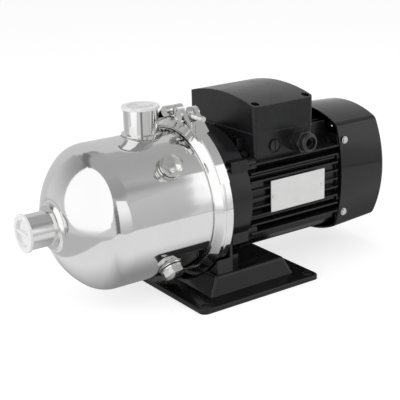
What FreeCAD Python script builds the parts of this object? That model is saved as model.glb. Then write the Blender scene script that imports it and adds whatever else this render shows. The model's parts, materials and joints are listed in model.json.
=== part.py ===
import FreeCAD, Part
import math
import os

os.makedirs("parts", exist_ok=True)

# Horizontal multistage pump, millimetres. The origin is on the floor, in the middle of the
# four base holes. X runs along the shaft from the suction port to the fan, Z is up.

# Shaft line and the places along it that everything else hangs on
AXIS_HEIGHT = 105.0
CLAMP_X = -38.5
MOTOR_SEAM_X = 9.0
FIT_GAP = 0.05
RUNNING_GAP = 0.08
FREE_GAP = 0.3
BREAK_EDGE = 1.0
OVERCUT = 1.0
SAME_POINT = 1e-6
TOUCH = 0.01
HEX_TURNED = 0.49

# Pump casing, pressed and drawn stainless sheet
BARREL_R = 85.0
SHELL = 2.0
BARREL_LENGTH = 117.2
CROWN_R = 99.4
KNUCKLE_R = 36.2
NECK_R = 25.0
NECK_FOOT_R = 32.0
NECK_RISE = 2.6
NECK_FLARE = 0.65

# Ports, one inch pipe thread
STUB_R = 20.0
THREAD_BORE_R = 15.15
THREAD_LENGTH = 19.0
WATER_BORE_R = 13.5
MOUTH_R = 17.2
MOUTH_DEPTH = 5.6
SUCTION_REACH = 31.5
STUB_RING_WIDTH = 1.8
SUCTION_RING_R = 25.0
DISCHARGE_X = -90.0
DISCHARGE_HEIGHT = 117.0
DISCHARGE_RING_R = 23.3
DISCHARGE_RING_STEP = 0.8
STUB_FOOT_DIP = 1.0
STUB_INSIDE = 3.5

# Transport caps in the ports
CAP_R = 22.0
CAP_PLATE = 1.5
CAP_SKIRT = 1.6
CAP_CUP_DEPTH = 4.6
CAP_WALL = 1.2
CAP_BAR = 3.2
CAP_BAR_DROP = 0.6
CAP_ROUNDING = 0.5

# Filling and draining plugs
PRIMING_X = -95.7
PRIMING_ANGLE = 42.8
PRIMING_RISE = 4.4
DRAIN_X = -98.3
DRAIN_ANGLE = -41.5
DRAIN_RISE = 1.4
BOSS_R = 13.4
BOSS_NECK_R = 10.8
BOSS_ROOT = 3.0
BOSS_NECK_ROOT = 1.0
PLUG_SHANK_R = 8.3
PLUG_SHANK_LENGTH = 9.0
PLUG_COLLAR_R = 13.0
PLUG_COLLAR = 2.0
PLUG_HEX = 22.0
PLUG_HEX_HEIGHT = 7.5
PLUG_DOME = 2.2
PLUG_DOME_SHOULDER = 0.75
SEAL_WASHER = 1.4
SEAL_WASHER_INSET = 0.6

# V-band clamp and the flanges that it draws together
CLAMP_HALF_WIDTH = 12.5
CLAMP_TOP_HALF_WIDTH = 6.5
CLAMP_ROOT_R = 87.65
CLAMP_TOP_R = 96.0
CLAMP_SHEET = 1.5
CLAMP_SLANT = 0.8
CLAMP_GROOVE = 0.9
CLAMP_SPLIT = 4.0
CLAMP_SPLIT_Y = -8.0
FLANGE_RIM_R = 92.6
FLANGE_ROOT_R = 87.0
FLANGE_JOINT = 1.5
FLANGE_RIM_HALF = 6.2
FLANGE_ROOT_HALF = 10.0

# Clamp latch: two strap ends with loops, a T-bolt, a slotted trunnion and a nut
STRAP_SHEET = 1.5
STRAP_WIDTH = 12.5
STRAP_WIDE_HALF = 11.0
STRAP_STEP_FRONT = 79.5
STRAP_STEP_REAR = 86.5
LOOP_CLEARANCE = 0.15
NEAR_LOOP_Y = -18.0
NEAR_LOOP_R = 8.3
NEAR_LOOP_HALF = 12.5
NEAR_LEAVE_ANGLE = 28.7
NEAR_WELD_ANGLE = 68.0
FAR_LOOP_Y = 12.0
FAR_LOOP_R = 6.3
FAR_LOOP_FRONT = 7.5
FAR_LOOP_REAR = 12.0
FAR_LEAVE_ANGLE = 27.0
FAR_WELD_ANGLE = 62.0
T_BOLT_R = 3.0
T_BOLT_LENGTH = 63.5
T_BOLT_HEAD = 4.5
BOLT_SLOT = 7.0
NUT_WINDOW = 12.6
NUT_FACE = 3.0
NUT_RELIEF = 1.5
LATCH_NUT_AF = 10.0
LATCH_NUT_HEIGHT = 5.0

# Cast bracket between pump and motor
DRUM_R = 78.0
DRUM_WALL = 7.0
DRUM_WEB = 8.0
LUG_Y = 58.0
LUG_Z = 40.0
LUG_SIZE = 22.0
LUG_LENGTH = 23.0
LUG_POCKET_R = 8.8
LUG_POCKET_WALL = 2.0
RING_RECESS_GAP = 2.0
PEDESTAL_FRONT_X = -43.0
PEDESTAL_REAR_X = -21.5
PEDESTAL_HALF_WIDTH = 78.0
PEDESTAL_LEG = 19.0
PAD_LENGTH = 20.0
PAD_WIDTH = 20.0
PAD_HEIGHT = 12.0
PAD_Y = 52.0
WEEP_R = 5.0

# Base plate, pressed sheet
BASE_LENGTH = 172.8
BASE_WIDTH = 218.0
BASE_CORNER = 8.0
BASE_SHEET = 3.0
BASE_RIM = 6.0
HOLE_EDGE_X = 10.9
HOLE_EDGE_Y = 11.0
BASE_HOLE_R = 5.0
BASE_SEAT_R = 9.0
RAISED_TOP_DROP = 77.2
RAISED_CENTRE_X = 3.0
RAISED_TOP_HALF_X = 50.0
RAISED_TOP_HALF_Y = 80.0
RAISED_FOOT_HALF_X = 61.0
RAISED_FOOT_HALF_Y = 85.5
RAISED_BEND = 4.0
RING_WINDOW_GAP = 3.0
FOOT_BOLT_R = 4.0
FOOT_BOLT_AF = 13.0
FOOT_BOLT_HEAD = 5.3
FOOT_BOLT_GRIP = 5.5
FOOT_BOLT_ROOM_R = 8.0

# Motor frame, finned casting
FRAME_LENGTH = 141.0
FRAME_CORE_R = 64.0
FRAME_BORE_R = 58.5
FRAME_BAND_R = 70.0
FRAME_BAND = 5.0
FIN_PITCH = 10.6
FIN_THICKNESS = 2.0
FIN_REACH = 69.5
FIN_FOOT_REACH = 66.5
SIDE_FIN_PAIRS = 4
TOP_FIN_PAIRS = 4
CORNER_Y = 62.0
CORNER_Z = 45.0
CORNER_FOOT_Y = 51.0
CORNER_FOOT_Z = 61.5
CORNER_INNER_Y = 40.0
CORNER_SLANT_Y = 2.0
CORNER_SLANT_Z = 8.0
LUG_BOSS_R = 9.0
LUG_BOSS_LENGTH = 15.0
BOX_PAD_HALF_Y = 38.0
BOX_PAD_RISE = 2.0
MOTOR_BOLT_R = 4.0
MOTOR_BOLT_AF = 13.0
MOTOR_BOLT_HEAD = 5.3
MOTOR_BOLT_REST = 4.0

# Rear end shield and tie rods
SHIELD_THICKNESS = 8.0
SHIELD_R = 66.5
SHIELD_WEB = 2.0
SPIGOT_LENGTH = 5.0
SPIGOT_WALL = 5.0
TIE_ROD_R = 2.5
TIE_ROD_Y = 62.3
TIE_ROD_Z = 26.4
TIE_ROD_AF = 8.0
TIE_ROD_HEAD = 4.0
TIE_LUG_R = 5.6

# Bearings, balls between plain raceways
BEARING_BORE_R = 10.0
BEARING_OUTER_R = 23.5
BEARING_WIDTH = 14.0
BEARING_SHOULDER = 3.0
REAR_BEARING_BORE_R = 8.5
REAR_BEARING_OUTER_R = 20.0
REAR_BEARING_WIDTH = 12.0
BALL_COUNT = 8
BALL_SHARE = 0.27
HOUSING_WALL = 5.0

# Stator, rotor and shaft
STATOR_R = 58.45
STATOR_BORE_R = 37.0
STATOR_START = 34.0
STATOR_LENGTH = 80.0
WINDING_REACH = 15.0
WINDING_INNER_R = 40.0
WINDING_OUTER_R = 55.0
AIR_GAP = 0.5
ROTOR_RING = 10.0
ROTOR_RING_STEP = 1.0
SHAFT_CORE_R = 13.0
PUMP_SHAFT_R = 7.0
NECKED_SHAFT_R = 8.5
FAN_SEAT_R = 7.0
FAN_SEAT_LENGTH = 30.0
THREAD_END_R = 5.0
THREAD_END_LENGTH = 9.0
IMPELLER_NUT_AF = 17.0
IMPELLER_NUT_HEIGHT = 7.0
SLINGER_R = 16.0
SLINGER_WIDTH = 3.0
SLINGER_HUB = 3.0

# Fan and its cover
COVER_START = 154.0
COVER_LENGTH = 74.0
COVER_HALF_WIDTH = 72.0
COVER_LIP_HEIGHT = 81.5
COVER_END_HEIGHT = 77.7
COVER_LIP_CORNER_Y = 61.5
COVER_END_CORNER_Y = 55.5
COVER_LIP_CORNER_Z = 66.0
COVER_END_CORNER_Z = 65.0
COVER_CORNER_FILLET = 11.0
COVER_END_FILLET = 6.0
COVER_SHEET = 2.0
GRILLE_RINGS = 4
GRILLE_SECTORS = 6
GRILLE_FIRST_R = 13.0
GRILLE_PITCH = 9.5
GRILLE_SLOT = 5.0
GRILLE_BRIDGE = 8.0
COVER_SCREW_X = 8.0
COVER_SCREW_Z = 47.0
COVER_SCREW_R = 2.5
COVER_SCREW_HEAD_R = 4.6
COVER_SCREW_HEAD = 3.2
COVER_LUG = 13.0
COVER_LUG_LENGTH = 12.0
COVER_SCREW_REST = 8.0
FAN_R = 54.0
FAN_DISC_R = 51.0
FAN_HUB_R = 15.0
FAN_HUB_LENGTH = 22.0
FAN_BLADES = 7
FAN_BLADE_WIDTH = 17.0
FAN_BLADE = 2.2
FAN_DISC = 2.0
FAN_DISC_INSET = 2.0
FAN_GAP = 5.0
FAN_BLADE_ROOT = 1.0
FAN_BLADE_RISE = 8.0
CLIP_SHEET = 1.2
CLIP_WIDTH = 3.0
CLIP_HALF_GAP = 3.0

# Terminal box
BOX_START = 24.6
BOX_LENGTH = 90.9
BOX_MID_Y = 3.2
BOX_HALF_WIDTH = 65.7
BOX_FOOT_RISE = 42.0
BOX_SEAM_RISE = 76.7
LID_CORNER_RISE = 108.3
LID_CROWN_RISE = 118.0
BOX_WALL = 3.0
BOX_CORNER = 6.0
LID_SCREW_INSET = 7.4
LID_SCREW_R = 2.0
LID_SCREW_HEAD_R = 3.6
LID_SCREW_HEAD = 3.0
LID_RECESS_R = 5.0
LID_THREAD_DEPTH = 16.0
LID_SCREW_REACH = 12.0
COLUMN_R = 6.6
SCREW_SEAT_HEIGHT = 11.0
BOX_GASKET = 1.0
GASKET_INSET = 0.4
WIRE_WAY_HALF_X = 12.0
WIRE_WAY_HALF_Y = 10.0
BLOCK_Y = 28.0
BLOCK_LENGTH = 46.0
BLOCK_WIDTH = 30.0
BLOCK_HEIGHT = 11.0
BLOCK_RIB = 2.0
BLOCK_RIB_RISE = 4.0
STUD_R = 2.0
STUD_HEIGHT = 10.0
STUD_PITCH = 14.0
STUD_NUT_AF = 7.0
STUD_NUT_HEIGHT = 3.2
LINK_SHEET = 0.8
LINK_REACH = 3.0
LINK_HALF_WIDTH = 3.0

# Cable gland and blanking plug in the near wall of the box
GLAND_X = 87.0
GLAND_RISE = 60.5
GLAND_THREAD_R = 9.9
GLAND_HEX = 24.0
GLAND_HEX_WIDTH = 8.0
GLAND_BODY_R = 10.0
GLAND_BODY_LENGTH = 13.5
GLAND_NUT_R = 12.0
GLAND_NUT_LENGTH = 19.8
GLAND_CABLE_R = 5.0
GLAND_LINER = 2.0
GLAND_LINER_PROUD = 2.5
GLAND_SKIRT = 0.55
GLAND_DOME_INSET = 0.6
GLAND_DOME_ROUND = 0.3
GLAND_TAIL = 7.0
BLANK_X = 54.7
BLANK_RISE = 58.5
BLANK_RECESS_R = 9.3
BLANK_RECESS = 2.0
BLANK_R = 6.5
BLANK_PROUD = 1.2
BLANK_TAIL = 2.0
BLANK_SLOT_HALF = 0.8
BLANK_SLOT_DEPTH = 1.4

# Nameplate, bare
PLATE_START = 43.0
PLATE_LENGTH = 84.0
PLATE_DROP = 21.0
PLATE_HEIGHT = 39.0
PLATE_SHEET = 0.8
RIVET_INSET = 4.0
RIVET_R = 1.3
RIVET_HEAD_R = 2.4
RIVET_HEAD = 1.0
RIVET_POST_R = 4.0

# Earth screw on the motor frame
EARTH_X = 19.0
EARTH_ANGLE = 46.0
EARTH_BOSS_R = 4.4
EARTH_SCREW_R = 2.5
EARTH_HEAD_R = 4.2
EARTH_HEAD = 2.8
EARTH_HOLE_WALL = 2.0

# Stage stack
STAGES = 4
STAGE_PITCH = 26.0
STACK_END_X = -66.0
SLEEVE_R = 66.0
SLEEVE_WALL = 1.5
EYE_R = 21.5
MID_PLATE_OFFSET = 14.0
MID_PLATE_R = 57.0
VANES = 6
VANE = 2.0
IMPELLER_R = 48.0
IMPELLER_EYE_R = 18.5
IMPELLER_START = 3.2
IMPELLER_SHROUD = 1.2
IMPELLER_PASSAGE = 6.0
IMPELLER_BLADES = 6
IMPELLER_BLADE = 1.6
BLADE_SWEEP = 45.0
BLADE_BEND = 0.45
VANE_START = 10.0
HUB_R = 11.0
HUB_LENGTH = 14.5
SPACER_R = 10.0
GUIDE_TUBE_R = 13.2
GUIDE_TUBE_REACH = 8.0
GUIDE_R = 68.5
GUIDE_CHAMFER = 4.0
STRAP_COUNT = 3
STAY_WIDTH = 14.0
STAY_SHEET = 1.5
STAY_HOOK = 2.5
STAY_HOOK_DEPTH = 6.0
STRAP_TURN = 60.0

# Cover behind the stages, and the shaft seal in it
SEAL_PLATE_SPIGOT = 9.0
SEAL_PLATE_WALL = 3.0
SEAL_PLATE_SLOPE = 3.0
O_RING_R = 1.5
O_RING_SIDES = 8
SEAL_SEAT_R = 15.0
SEAL_SEAT_LENGTH = 7.0
SEAL_RING_R = 13.5
SEAL_RING_LENGTH = 5.5
BELLOWS_TURNS = 3
BELLOWS_R = 12.5
BELLOWS_FOLD = 2.0
BELLOWS_GAP = 1.5

ORIGIN = FreeCAD.Vector(0, 0, 0)
X_DIR = FreeCAD.Vector(1, 0, 0)
Y_DIR = FreeCAD.Vector(0, 1, 0)
Z_DIR = FreeCAD.Vector(0, 0, 1)
SIDES = (-1, 1)

BARREL_END_X = CLAMP_X
DOME_TANGENT_X = BARREL_END_X - BARREL_LENGTH
FRAME_END_X = MOTOR_SEAM_X + FRAME_LENGTH
CAVITY_R = BARREL_R - SHELL
DRUM_BORE_R = DRUM_R - DRUM_WALL
SEAL_PLATE_X = CLAMP_X - FLANGE_JOINT
BRACKET_FACE_X = CLAMP_X + FLANGE_JOINT
STACK_START_X = STACK_END_X - STAGES * STAGE_PITCH
BOX_MID_X = BOX_START + BOX_LENGTH / 2
BOX_FOOT = AXIS_HEIGHT + BOX_FOOT_RISE
BOX_SEAM = AXIS_HEIGHT + BOX_SEAM_RISE
LID_CORNER = AXIS_HEIGHT + LID_CORNER_RISE
LID_CROWN = AXIS_HEIGHT + LID_CROWN_RISE
GLAND_HEIGHT = AXIS_HEIGHT + GLAND_RISE
BLANK_HEIGHT = AXIS_HEIGHT + BLANK_RISE
PLATE_FOOT = AXIS_HEIGHT - PLATE_DROP
RAISED_TOP = AXIS_HEIGHT - RAISED_TOP_DROP
HOLE_SPACING_X = BASE_LENGTH - 2 * HOLE_EDGE_X
HOLE_SPACING_Y = BASE_WIDTH - 2 * HOLE_EDGE_Y
LATCH_HEIGHT = math.sqrt((CLAMP_TOP_R + NEAR_LOOP_R + LOOP_CLEARANCE) ** 2 - NEAR_LOOP_Y ** 2)
COVER_END_X = COVER_START + COVER_LENGTH


def vec(x, y, z):
    return FreeCAD.Vector(x, y, z)


def xr(x, r):
    """Point of a turned profile: place along the shaft and distance from it."""
    return FreeCAD.Vector(x, 0, r)


def outline(start, *steps):
    """Closed wire; a step is a point for a line, or a pair (middle, end) for an arc."""
    edges = []
    here = start
    for step in steps:
        if isinstance(step, tuple):
            edges.append(Part.Arc(here, step[0], step[1]).toShape())
            here = step[1]
        else:
            edges.append(Part.makeLine(here, step))
            here = step
    if here.distanceToPoint(start) > SAME_POINT:
        edges.append(Part.makeLine(here, start))
    return Part.Wire(edges)


def face_of(start, *steps):
    return Part.Face(outline(start, *steps))


def at_axis(shape):
    """Lift a shape that was made about the X axis onto the shaft line."""
    return shape.translated(vec(0, 0, AXIS_HEIGHT))


def turned(start, *steps):
    """Solid of revolution about the shaft line."""
    return at_axis(face_of(start, *steps).revolve(ORIGIN, X_DIR, 360))


def bar_x(x0, x1, r, y=0.0, z=0.0):
    """Round bar along X, offset from the shaft line by y and z."""
    return Part.makeCylinder(r, x1 - x0, vec(x0, y, AXIS_HEIGHT + z), X_DIR)


def tube_x(x0, x1, r_out, r_in):
    return bar_x(x0, x1, r_out).cut(bar_x(x0, x1, r_in))


def box_between(low, high):
    size = high - low
    return Part.makeBox(size.x, size.y, size.z, low)


def rod(base, direction, length, r):
    return Part.makeCylinder(r, length, base, direction)


def hex_bar(across_flats, length, base, direction):
    """Hexagonal bar from base along direction, with the head's corners turned off."""
    reach = across_flats / math.sqrt(3)
    corners = [vec(reach * math.cos(math.radians(60 * k)), reach * math.sin(math.radians(60 * k)), 0)
               for k in range(6)]
    prism = Part.Face(Part.makePolygon(corners + corners[:1])).extrude(vec(0, 0, length))
    blunt = across_flats * HEX_TURNED
    turning = Part.makeCylinder(reach, length - (reach - blunt) / 2)
    top = Part.makeCone(reach, blunt, (reach - blunt) / 2, vec(0, 0, length - (reach - blunt) / 2))
    head = prism.common(turning.fuse(top))
    head.Placement = FreeCAD.Placement(base, FreeCAD.Rotation(Z_DIR, direction))
    return head


def united(shapes):
    shapes = list(shapes)
    whole = shapes[0]
    if len(shapes) > 1:
        whole = whole.fuse(shapes[1:])
    return whole.removeSplitter()


def group(shapes):
    return Part.makeCompound(list(shapes))


def around(shape, count):
    """Copies of a shape spread evenly about the shaft line."""
    copies = []
    for k in range(count):
        copy = shape.copy()
        copy.rotate(vec(0, 0, AXIS_HEIGHT), X_DIR, 360.0 * k / count)
        copies.append(copy)
    return copies


def four_corners(y, z):
    return [(side_y * y, side_z * z) for side_y in SIDES for side_z in SIDES]


def save(node, shape):
    shape.exportStep("parts/" + node + ".step")


def crown_centre_x():
    """Centre of the dome's crown arc, which meets the knuckle arc smoothly."""
    side = CROWN_R - KNUCKLE_R
    return DOME_TANGENT_X + math.sqrt(side ** 2 - (BARREL_R - KNUCKLE_R) ** 2)


def crown_point(r, inset):
    """Point of the dome's crown at a distance r from the shaft line."""
    return xr(crown_centre_x() - math.sqrt((CROWN_R - inset) ** 2 - r ** 2), r)


def knuckle_point(share, inset):
    """Point of the knuckle arc: share 0 at the barrel, 1 where the crown begins."""
    reach = crown_centre_x() - DOME_TANGENT_X
    turn = math.atan2(reach, BARREL_R - KNUCKLE_R) * share
    r = KNUCKLE_R - inset
    return xr(DOME_TANGENT_X - r * math.sin(turn), BARREL_R - KNUCKLE_R + r * math.cos(turn))


def neck_face_x():
    return crown_point(NECK_R, 0).x - NECK_RISE


def casing_turning():
    """Dome, barrel and rolled flange in one thickness of sheet, with the suction neck."""
    hole_r = STUB_R + FIT_GAP
    foot = crown_point(NECK_FOOT_R, 0)
    neck = xr(neck_face_x(), NECK_R)
    flare = xr(neck.x + (foot.x - neck.x) * NECK_FLARE, foot.z + (neck.z - foot.z) * NECK_FLARE)
    join = knuckle_point(1, 0)
    join_in = knuckle_point(1, SHELL)
    middle = crown_point((NECK_FOOT_R + join.z) / 2, 0)
    middle_in = crown_point((hole_r + join_in.z) / 2, SHELL)
    root = xr(CLAMP_X - FLANGE_ROOT_HALF, FLANGE_ROOT_R)
    return turned(
        xr(neck.x, hole_r), neck, (flare, foot), (middle, join),
        (knuckle_point(0.5, 0), xr(DOME_TANGENT_X, BARREL_R)),
        xr(root.x - SHELL, BARREL_R), root, xr(CLAMP_X - FLANGE_RIM_HALF, FLANGE_RIM_R),
        xr(SEAL_PLATE_X, FLANGE_RIM_R), xr(SEAL_PLATE_X, CAVITY_R), xr(DOME_TANGENT_X, CAVITY_R),
        (knuckle_point(0.5, SHELL), join_in), (middle_in, crown_point(hole_r, SHELL)))


def radial(angle):
    """Direction out of the barrel on the near side, at an angle above the horizontal."""
    turn = math.radians(angle)
    return vec(0, -math.cos(turn), math.sin(turn))


def on_ray(x, angle, r):
    return vec(x, 0, AXIS_HEIGHT) + radial(angle) * r


def plug_places():
    """Name, place along the shaft, angle and boss height of each plug."""
    return (("priming", PRIMING_X, PRIMING_ANGLE, PRIMING_RISE), ("drain", DRAIN_X, DRAIN_ANGLE, DRAIN_RISE))


def pump_casing():
    collar = rod(vec(DISCHARGE_X, 0, AXIS_HEIGHT + BARREL_R / 2), Z_DIR, BARREL_R / 2,
                 DISCHARGE_RING_R - DISCHARGE_RING_STEP)
    collar = collar.cut(bar_x(DOME_TANGENT_X, CLAMP_X, CAVITY_R))
    shell = united([casing_turning(), collar])
    holes = [rod(vec(DISCHARGE_X, 0, AXIS_HEIGHT), Z_DIR, DISCHARGE_HEIGHT, STUB_R + FIT_GAP)]
    for _, x, angle, _ in plug_places():
        holes.append(rod(on_ray(x, angle, BARREL_R / 2), radial(angle), BARREL_R, BOSS_NECK_R + FIT_GAP))
    return shell.cut(holes)


def stub(length, ring_at, ring_r):
    """Threaded pipe stub along +Z from the origin; its mouth is at the top."""
    bore = THREAD_BORE_R
    mouth = length - MOUTH_DEPTH
    thread_end = mouth - THREAD_LENGTH
    profile = face_of(
        xr(0, WATER_BORE_R), xr(0, STUB_R), xr(ring_at, STUB_R), xr(ring_at, ring_r),
        xr(ring_at + STUB_RING_WIDTH, ring_r), xr(ring_at + STUB_RING_WIDTH + BREAK_EDGE, STUB_R),
        xr(length, STUB_R), xr(length, MOUTH_R), xr(mouth, MOUTH_R), xr(mouth, bore),
        xr(thread_end, bore), xr(thread_end, WATER_BORE_R))
    solid = profile.revolve(ORIGIN, X_DIR, 360)
    solid.rotate(ORIGIN, Y_DIR, -90)
    return solid


def suction_inner_x():
    return crown_point(STUB_R, SHELL).x + STUB_INSIDE


def suction_mouth_x():
    return neck_face_x() - SUCTION_REACH


def suction_stub():
    length = suction_inner_x() - suction_mouth_x()
    solid = stub(length, suction_inner_x() - neck_face_x() + FIT_GAP, SUCTION_RING_R)
    solid.rotate(ORIGIN, Y_DIR, -90)
    return at_axis(solid.translated(vec(suction_inner_x(), 0, 0)))


def discharge_foot():
    """Height above the shaft line of the discharge stub's inner end."""
    return math.sqrt(CAVITY_R ** 2 - STUB_R ** 2) - STUB_FOOT_DIP


def discharge_stub():
    length = DISCHARGE_HEIGHT - discharge_foot()
    solid = stub(length, BARREL_R - discharge_foot() + FIT_GAP, DISCHARGE_RING_R)
    return at_axis(solid.translated(vec(DISCHARGE_X, 0, discharge_foot())))


def port_cap():
    """White cap along +Z with the stub's end face at the origin."""
    cup_r = MOUTH_R - FREE_GAP
    skirt_r = STUB_R + FREE_GAP
    shell = face_of(
        xr(0, cup_r), xr(0, skirt_r), xr(-CAP_SKIRT, skirt_r), xr(-CAP_SKIRT, CAP_R),
        xr(CAP_PLATE - CAP_ROUNDING, CAP_R), xr(CAP_PLATE, CAP_R - CAP_ROUNDING),
        xr(CAP_PLATE, cup_r - CAP_WALL),
        xr(CAP_WALL - CAP_CUP_DEPTH, cup_r - CAP_WALL), xr(CAP_WALL - CAP_CUP_DEPTH, 0),
        xr(-CAP_CUP_DEPTH, 0), xr(-CAP_CUP_DEPTH, cup_r))
    solid = shell.revolve(ORIGIN, X_DIR, 360)
    solid.rotate(ORIGIN, Y_DIR, -90)
    bar = box_between(vec(-cup_r + CAP_WALL / 2, -CAP_BAR / 2, CAP_WALL / 2 - CAP_CUP_DEPTH),
                      vec(cup_r - CAP_WALL / 2, CAP_BAR / 2, CAP_PLATE - CAP_BAR_DROP))
    return united([solid, bar])


def suction_cap():
    cap = port_cap()
    cap.rotate(ORIGIN, Z_DIR, 90)
    cap.rotate(ORIGIN, Y_DIR, -90)
    return at_axis(cap.translated(vec(suction_mouth_x() - FIT_GAP, 0, 0)))


def discharge_cap():
    cap = port_cap()
    return at_axis(cap.translated(vec(DISCHARGE_X, 0, DISCHARGE_HEIGHT + FIT_GAP)))


def boss(x, angle, rise):
    """Round boss that is welded into the barrel's wall."""
    collar = rod(on_ray(x, angle, CAVITY_R - BOSS_ROOT), radial(angle), SHELL + BOSS_ROOT + rise, BOSS_R)
    collar = collar.cut(bar_x(DOME_TANGENT_X, CLAMP_X, BARREL_R + FIT_GAP))
    neck_length = SHELL + BOSS_NECK_ROOT + rise
    neck = rod(on_ray(x, angle, CAVITY_R - BOSS_NECK_ROOT), radial(angle), neck_length, BOSS_NECK_R)
    bore = rod(on_ray(x, angle, CAVITY_R / 2), radial(angle), CAVITY_R, PLUG_SHANK_R + RUNNING_GAP)
    return united([collar, neck]).cut(bore)


def seal_washer(x, angle, rise):
    base = on_ray(x, angle, BARREL_R + rise + RUNNING_GAP)
    ring = rod(base, radial(angle), SEAL_WASHER, PLUG_COLLAR_R - SEAL_WASHER_INSET)
    return ring.cut(rod(base, radial(angle), SEAL_WASHER, PLUG_SHANK_R + RUNNING_GAP))


def plug(x, angle, rise):
    out = radial(angle)
    seat = BARREL_R + rise + RUNNING_GAP + SEAL_WASHER
    shank = rod(on_ray(x, angle, seat - PLUG_SHANK_LENGTH), out, PLUG_SHANK_LENGTH, PLUG_SHANK_R)
    collar = rod(on_ray(x, angle, seat), out, PLUG_COLLAR, PLUG_COLLAR_R)
    head = hex_bar(PLUG_HEX, PLUG_HEX_HEIGHT + PLUG_COLLAR, on_ray(x, angle, seat), out)
    head_r = PLUG_HEX / 2 - BREAK_EDGE
    top = PLUG_COLLAR + PLUG_HEX_HEIGHT
    shoulder = xr(top + PLUG_DOME * PLUG_DOME_SHOULDER, head_r / 2)
    view = face_of(xr(PLUG_COLLAR, 0), xr(PLUG_COLLAR, head_r), xr(top, head_r),
                   (shoulder, xr(top + PLUG_DOME, 0)))
    crown = view.revolve(ORIGIN, X_DIR, 360)
    crown.Placement = FreeCAD.Placement(on_ray(x, angle, seat), FreeCAD.Rotation(X_DIR, out))
    return united([shank, collar, head, crown])


def clamp_ring():
    """V-section ring that draws both flanges together, split under the latch."""
    inner_top = CLAMP_TOP_R - CLAMP_SHEET
    inset = CLAMP_SHEET * CLAMP_SLANT
    half = CLAMP_HALF_WIDTH
    top = CLAMP_TOP_HALF_WIDTH
    groove = CLAMP_TOP_R - CLAMP_GROOVE
    ring = turned(
        xr(CLAMP_X - half, CLAMP_ROOT_R), xr(CLAMP_X - top, CLAMP_TOP_R), xr(CLAMP_X - top / 2, CLAMP_TOP_R),
        (xr(CLAMP_X - top / 4, groove), xr(CLAMP_X, CLAMP_TOP_R)), xr(CLAMP_X + top, CLAMP_TOP_R),
        xr(CLAMP_X + half, CLAMP_ROOT_R), xr(CLAMP_X + half - 2 * inset, CLAMP_ROOT_R),
        xr(CLAMP_X + top - inset, inner_top), xr(CLAMP_X - top + inset, inner_top),
        xr(CLAMP_X - half + 2 * inset, CLAMP_ROOT_R))
    split = box_between(vec(CLAMP_X - 2 * half, CLAMP_SPLIT_Y - CLAMP_SPLIT / 2, AXIS_HEIGHT),
                        vec(CLAMP_X + 2 * half, CLAMP_SPLIT_Y + CLAMP_SPLIT / 2,
                            AXIS_HEIGHT + 2 * CLAMP_TOP_R))
    return ring.cut(split)


def side_point(r, angle, side, centre):
    """Point of a side view at an angle from the vertical, on one side, round a centre."""
    turn = math.radians(angle)
    return centre + vec(0, side * r * math.sin(turn), r * math.cos(turn))


def strap_outline(loop, loop_r, leave, weld_angle, side):
    """Side view of a strap end: along the ring, then straight to the top of the loop."""
    inner = CLAMP_TOP_R + FIT_GAP
    outer = inner + STRAP_SHEET

    def on_ring(r, angle):
        return side_point(r, angle, side, ORIGIN)
    run = on_ring(outer, leave) - loop
    heading = math.degrees(math.atan2(-run.z, side * run.y) + math.asin(loop_r / run.Length))
    half = (leave + weld_angle) / 2
    return face_of(
        on_ring(inner, leave), (on_ring(inner, half), on_ring(inner, weld_angle)), on_ring(outer, weld_angle),
        (on_ring(outer, half), on_ring(outer, leave)), side_point(loop_r, heading, side, loop),
        side_point(loop_r - STRAP_SHEET, heading, side, loop))


def across(face, width):
    """Extrude a side view over a width that is centred on the clamp."""
    return at_axis(face.extrude(vec(width, 0, 0)).translated(vec(CLAMP_X - width / 2, 0, 0)))


def latch_bar(y, r, front, rear):
    """Round bar across the latch, with its ends at two distances from the clamp's middle."""
    return bar_x(CLAMP_X - front, CLAMP_X + rear, r, y, LATCH_HEIGHT)


def wide_zone():
    """Space above the slanting step where the strap ends grow wider."""
    def at(x, z):
        return vec(CLAMP_X + x, -BASE_WIDTH / 2, AXIS_HEIGHT + z)
    reach = 2 * STRAP_WIDE_HALF
    rise = STRAP_STEP_REAR - STRAP_STEP_FRONT
    shape = face_of(at(-reach, STRAP_STEP_FRONT - rise / 2), at(reach, STRAP_STEP_REAR + rise / 2),
                    at(reach, 2 * LATCH_HEIGHT), at(-reach, 2 * LATCH_HEIGHT))
    return shape.extrude(vec(0, BASE_WIDTH, 0))


def strap_end(view, loop, bore):
    strip = across(view, STRAP_WIDTH)
    wide = across(view, 2 * STRAP_WIDE_HALF).common(wide_zone())
    return united([strip, wide, loop]).cut(bore)


def bolt_axis_height():
    return AXIS_HEIGHT + LATCH_HEIGHT


def nut_seat_y():
    """Place of the flat in the near loop that the nut is drawn against."""
    return NEAR_LOOP_Y - NUT_FACE


def near_cuts():
    """Slot for the bolt and pocket for the nut, both open above so that the bolt can swing out."""
    half = BOLT_SLOT / 2
    reach = NUT_WINDOW / 2
    axis = bolt_axis_height()
    top = axis + 2 * NEAR_LOOP_R
    slot = box_between(vec(CLAMP_X - half, NEAR_LOOP_Y - 4 * NEAR_LOOP_R, axis - half),
                       vec(CLAMP_X + half, NEAR_LOOP_Y + 2 * NEAR_LOOP_R, top))
    pocket = box_between(vec(CLAMP_X - reach, NEAR_LOOP_Y - 2 * NEAR_LOOP_R, axis - reach),
                         vec(CLAMP_X + reach, nut_seat_y() + FREE_GAP, top))
    relief = box_between(vec(CLAMP_X - reach, NEAR_LOOP_Y - 2 * NEAR_LOOP_R, axis + BREAK_EDGE),
                         vec(CLAMP_X + reach, nut_seat_y() + FREE_GAP + NUT_RELIEF, top))
    return [slot, pocket, relief]


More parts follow.
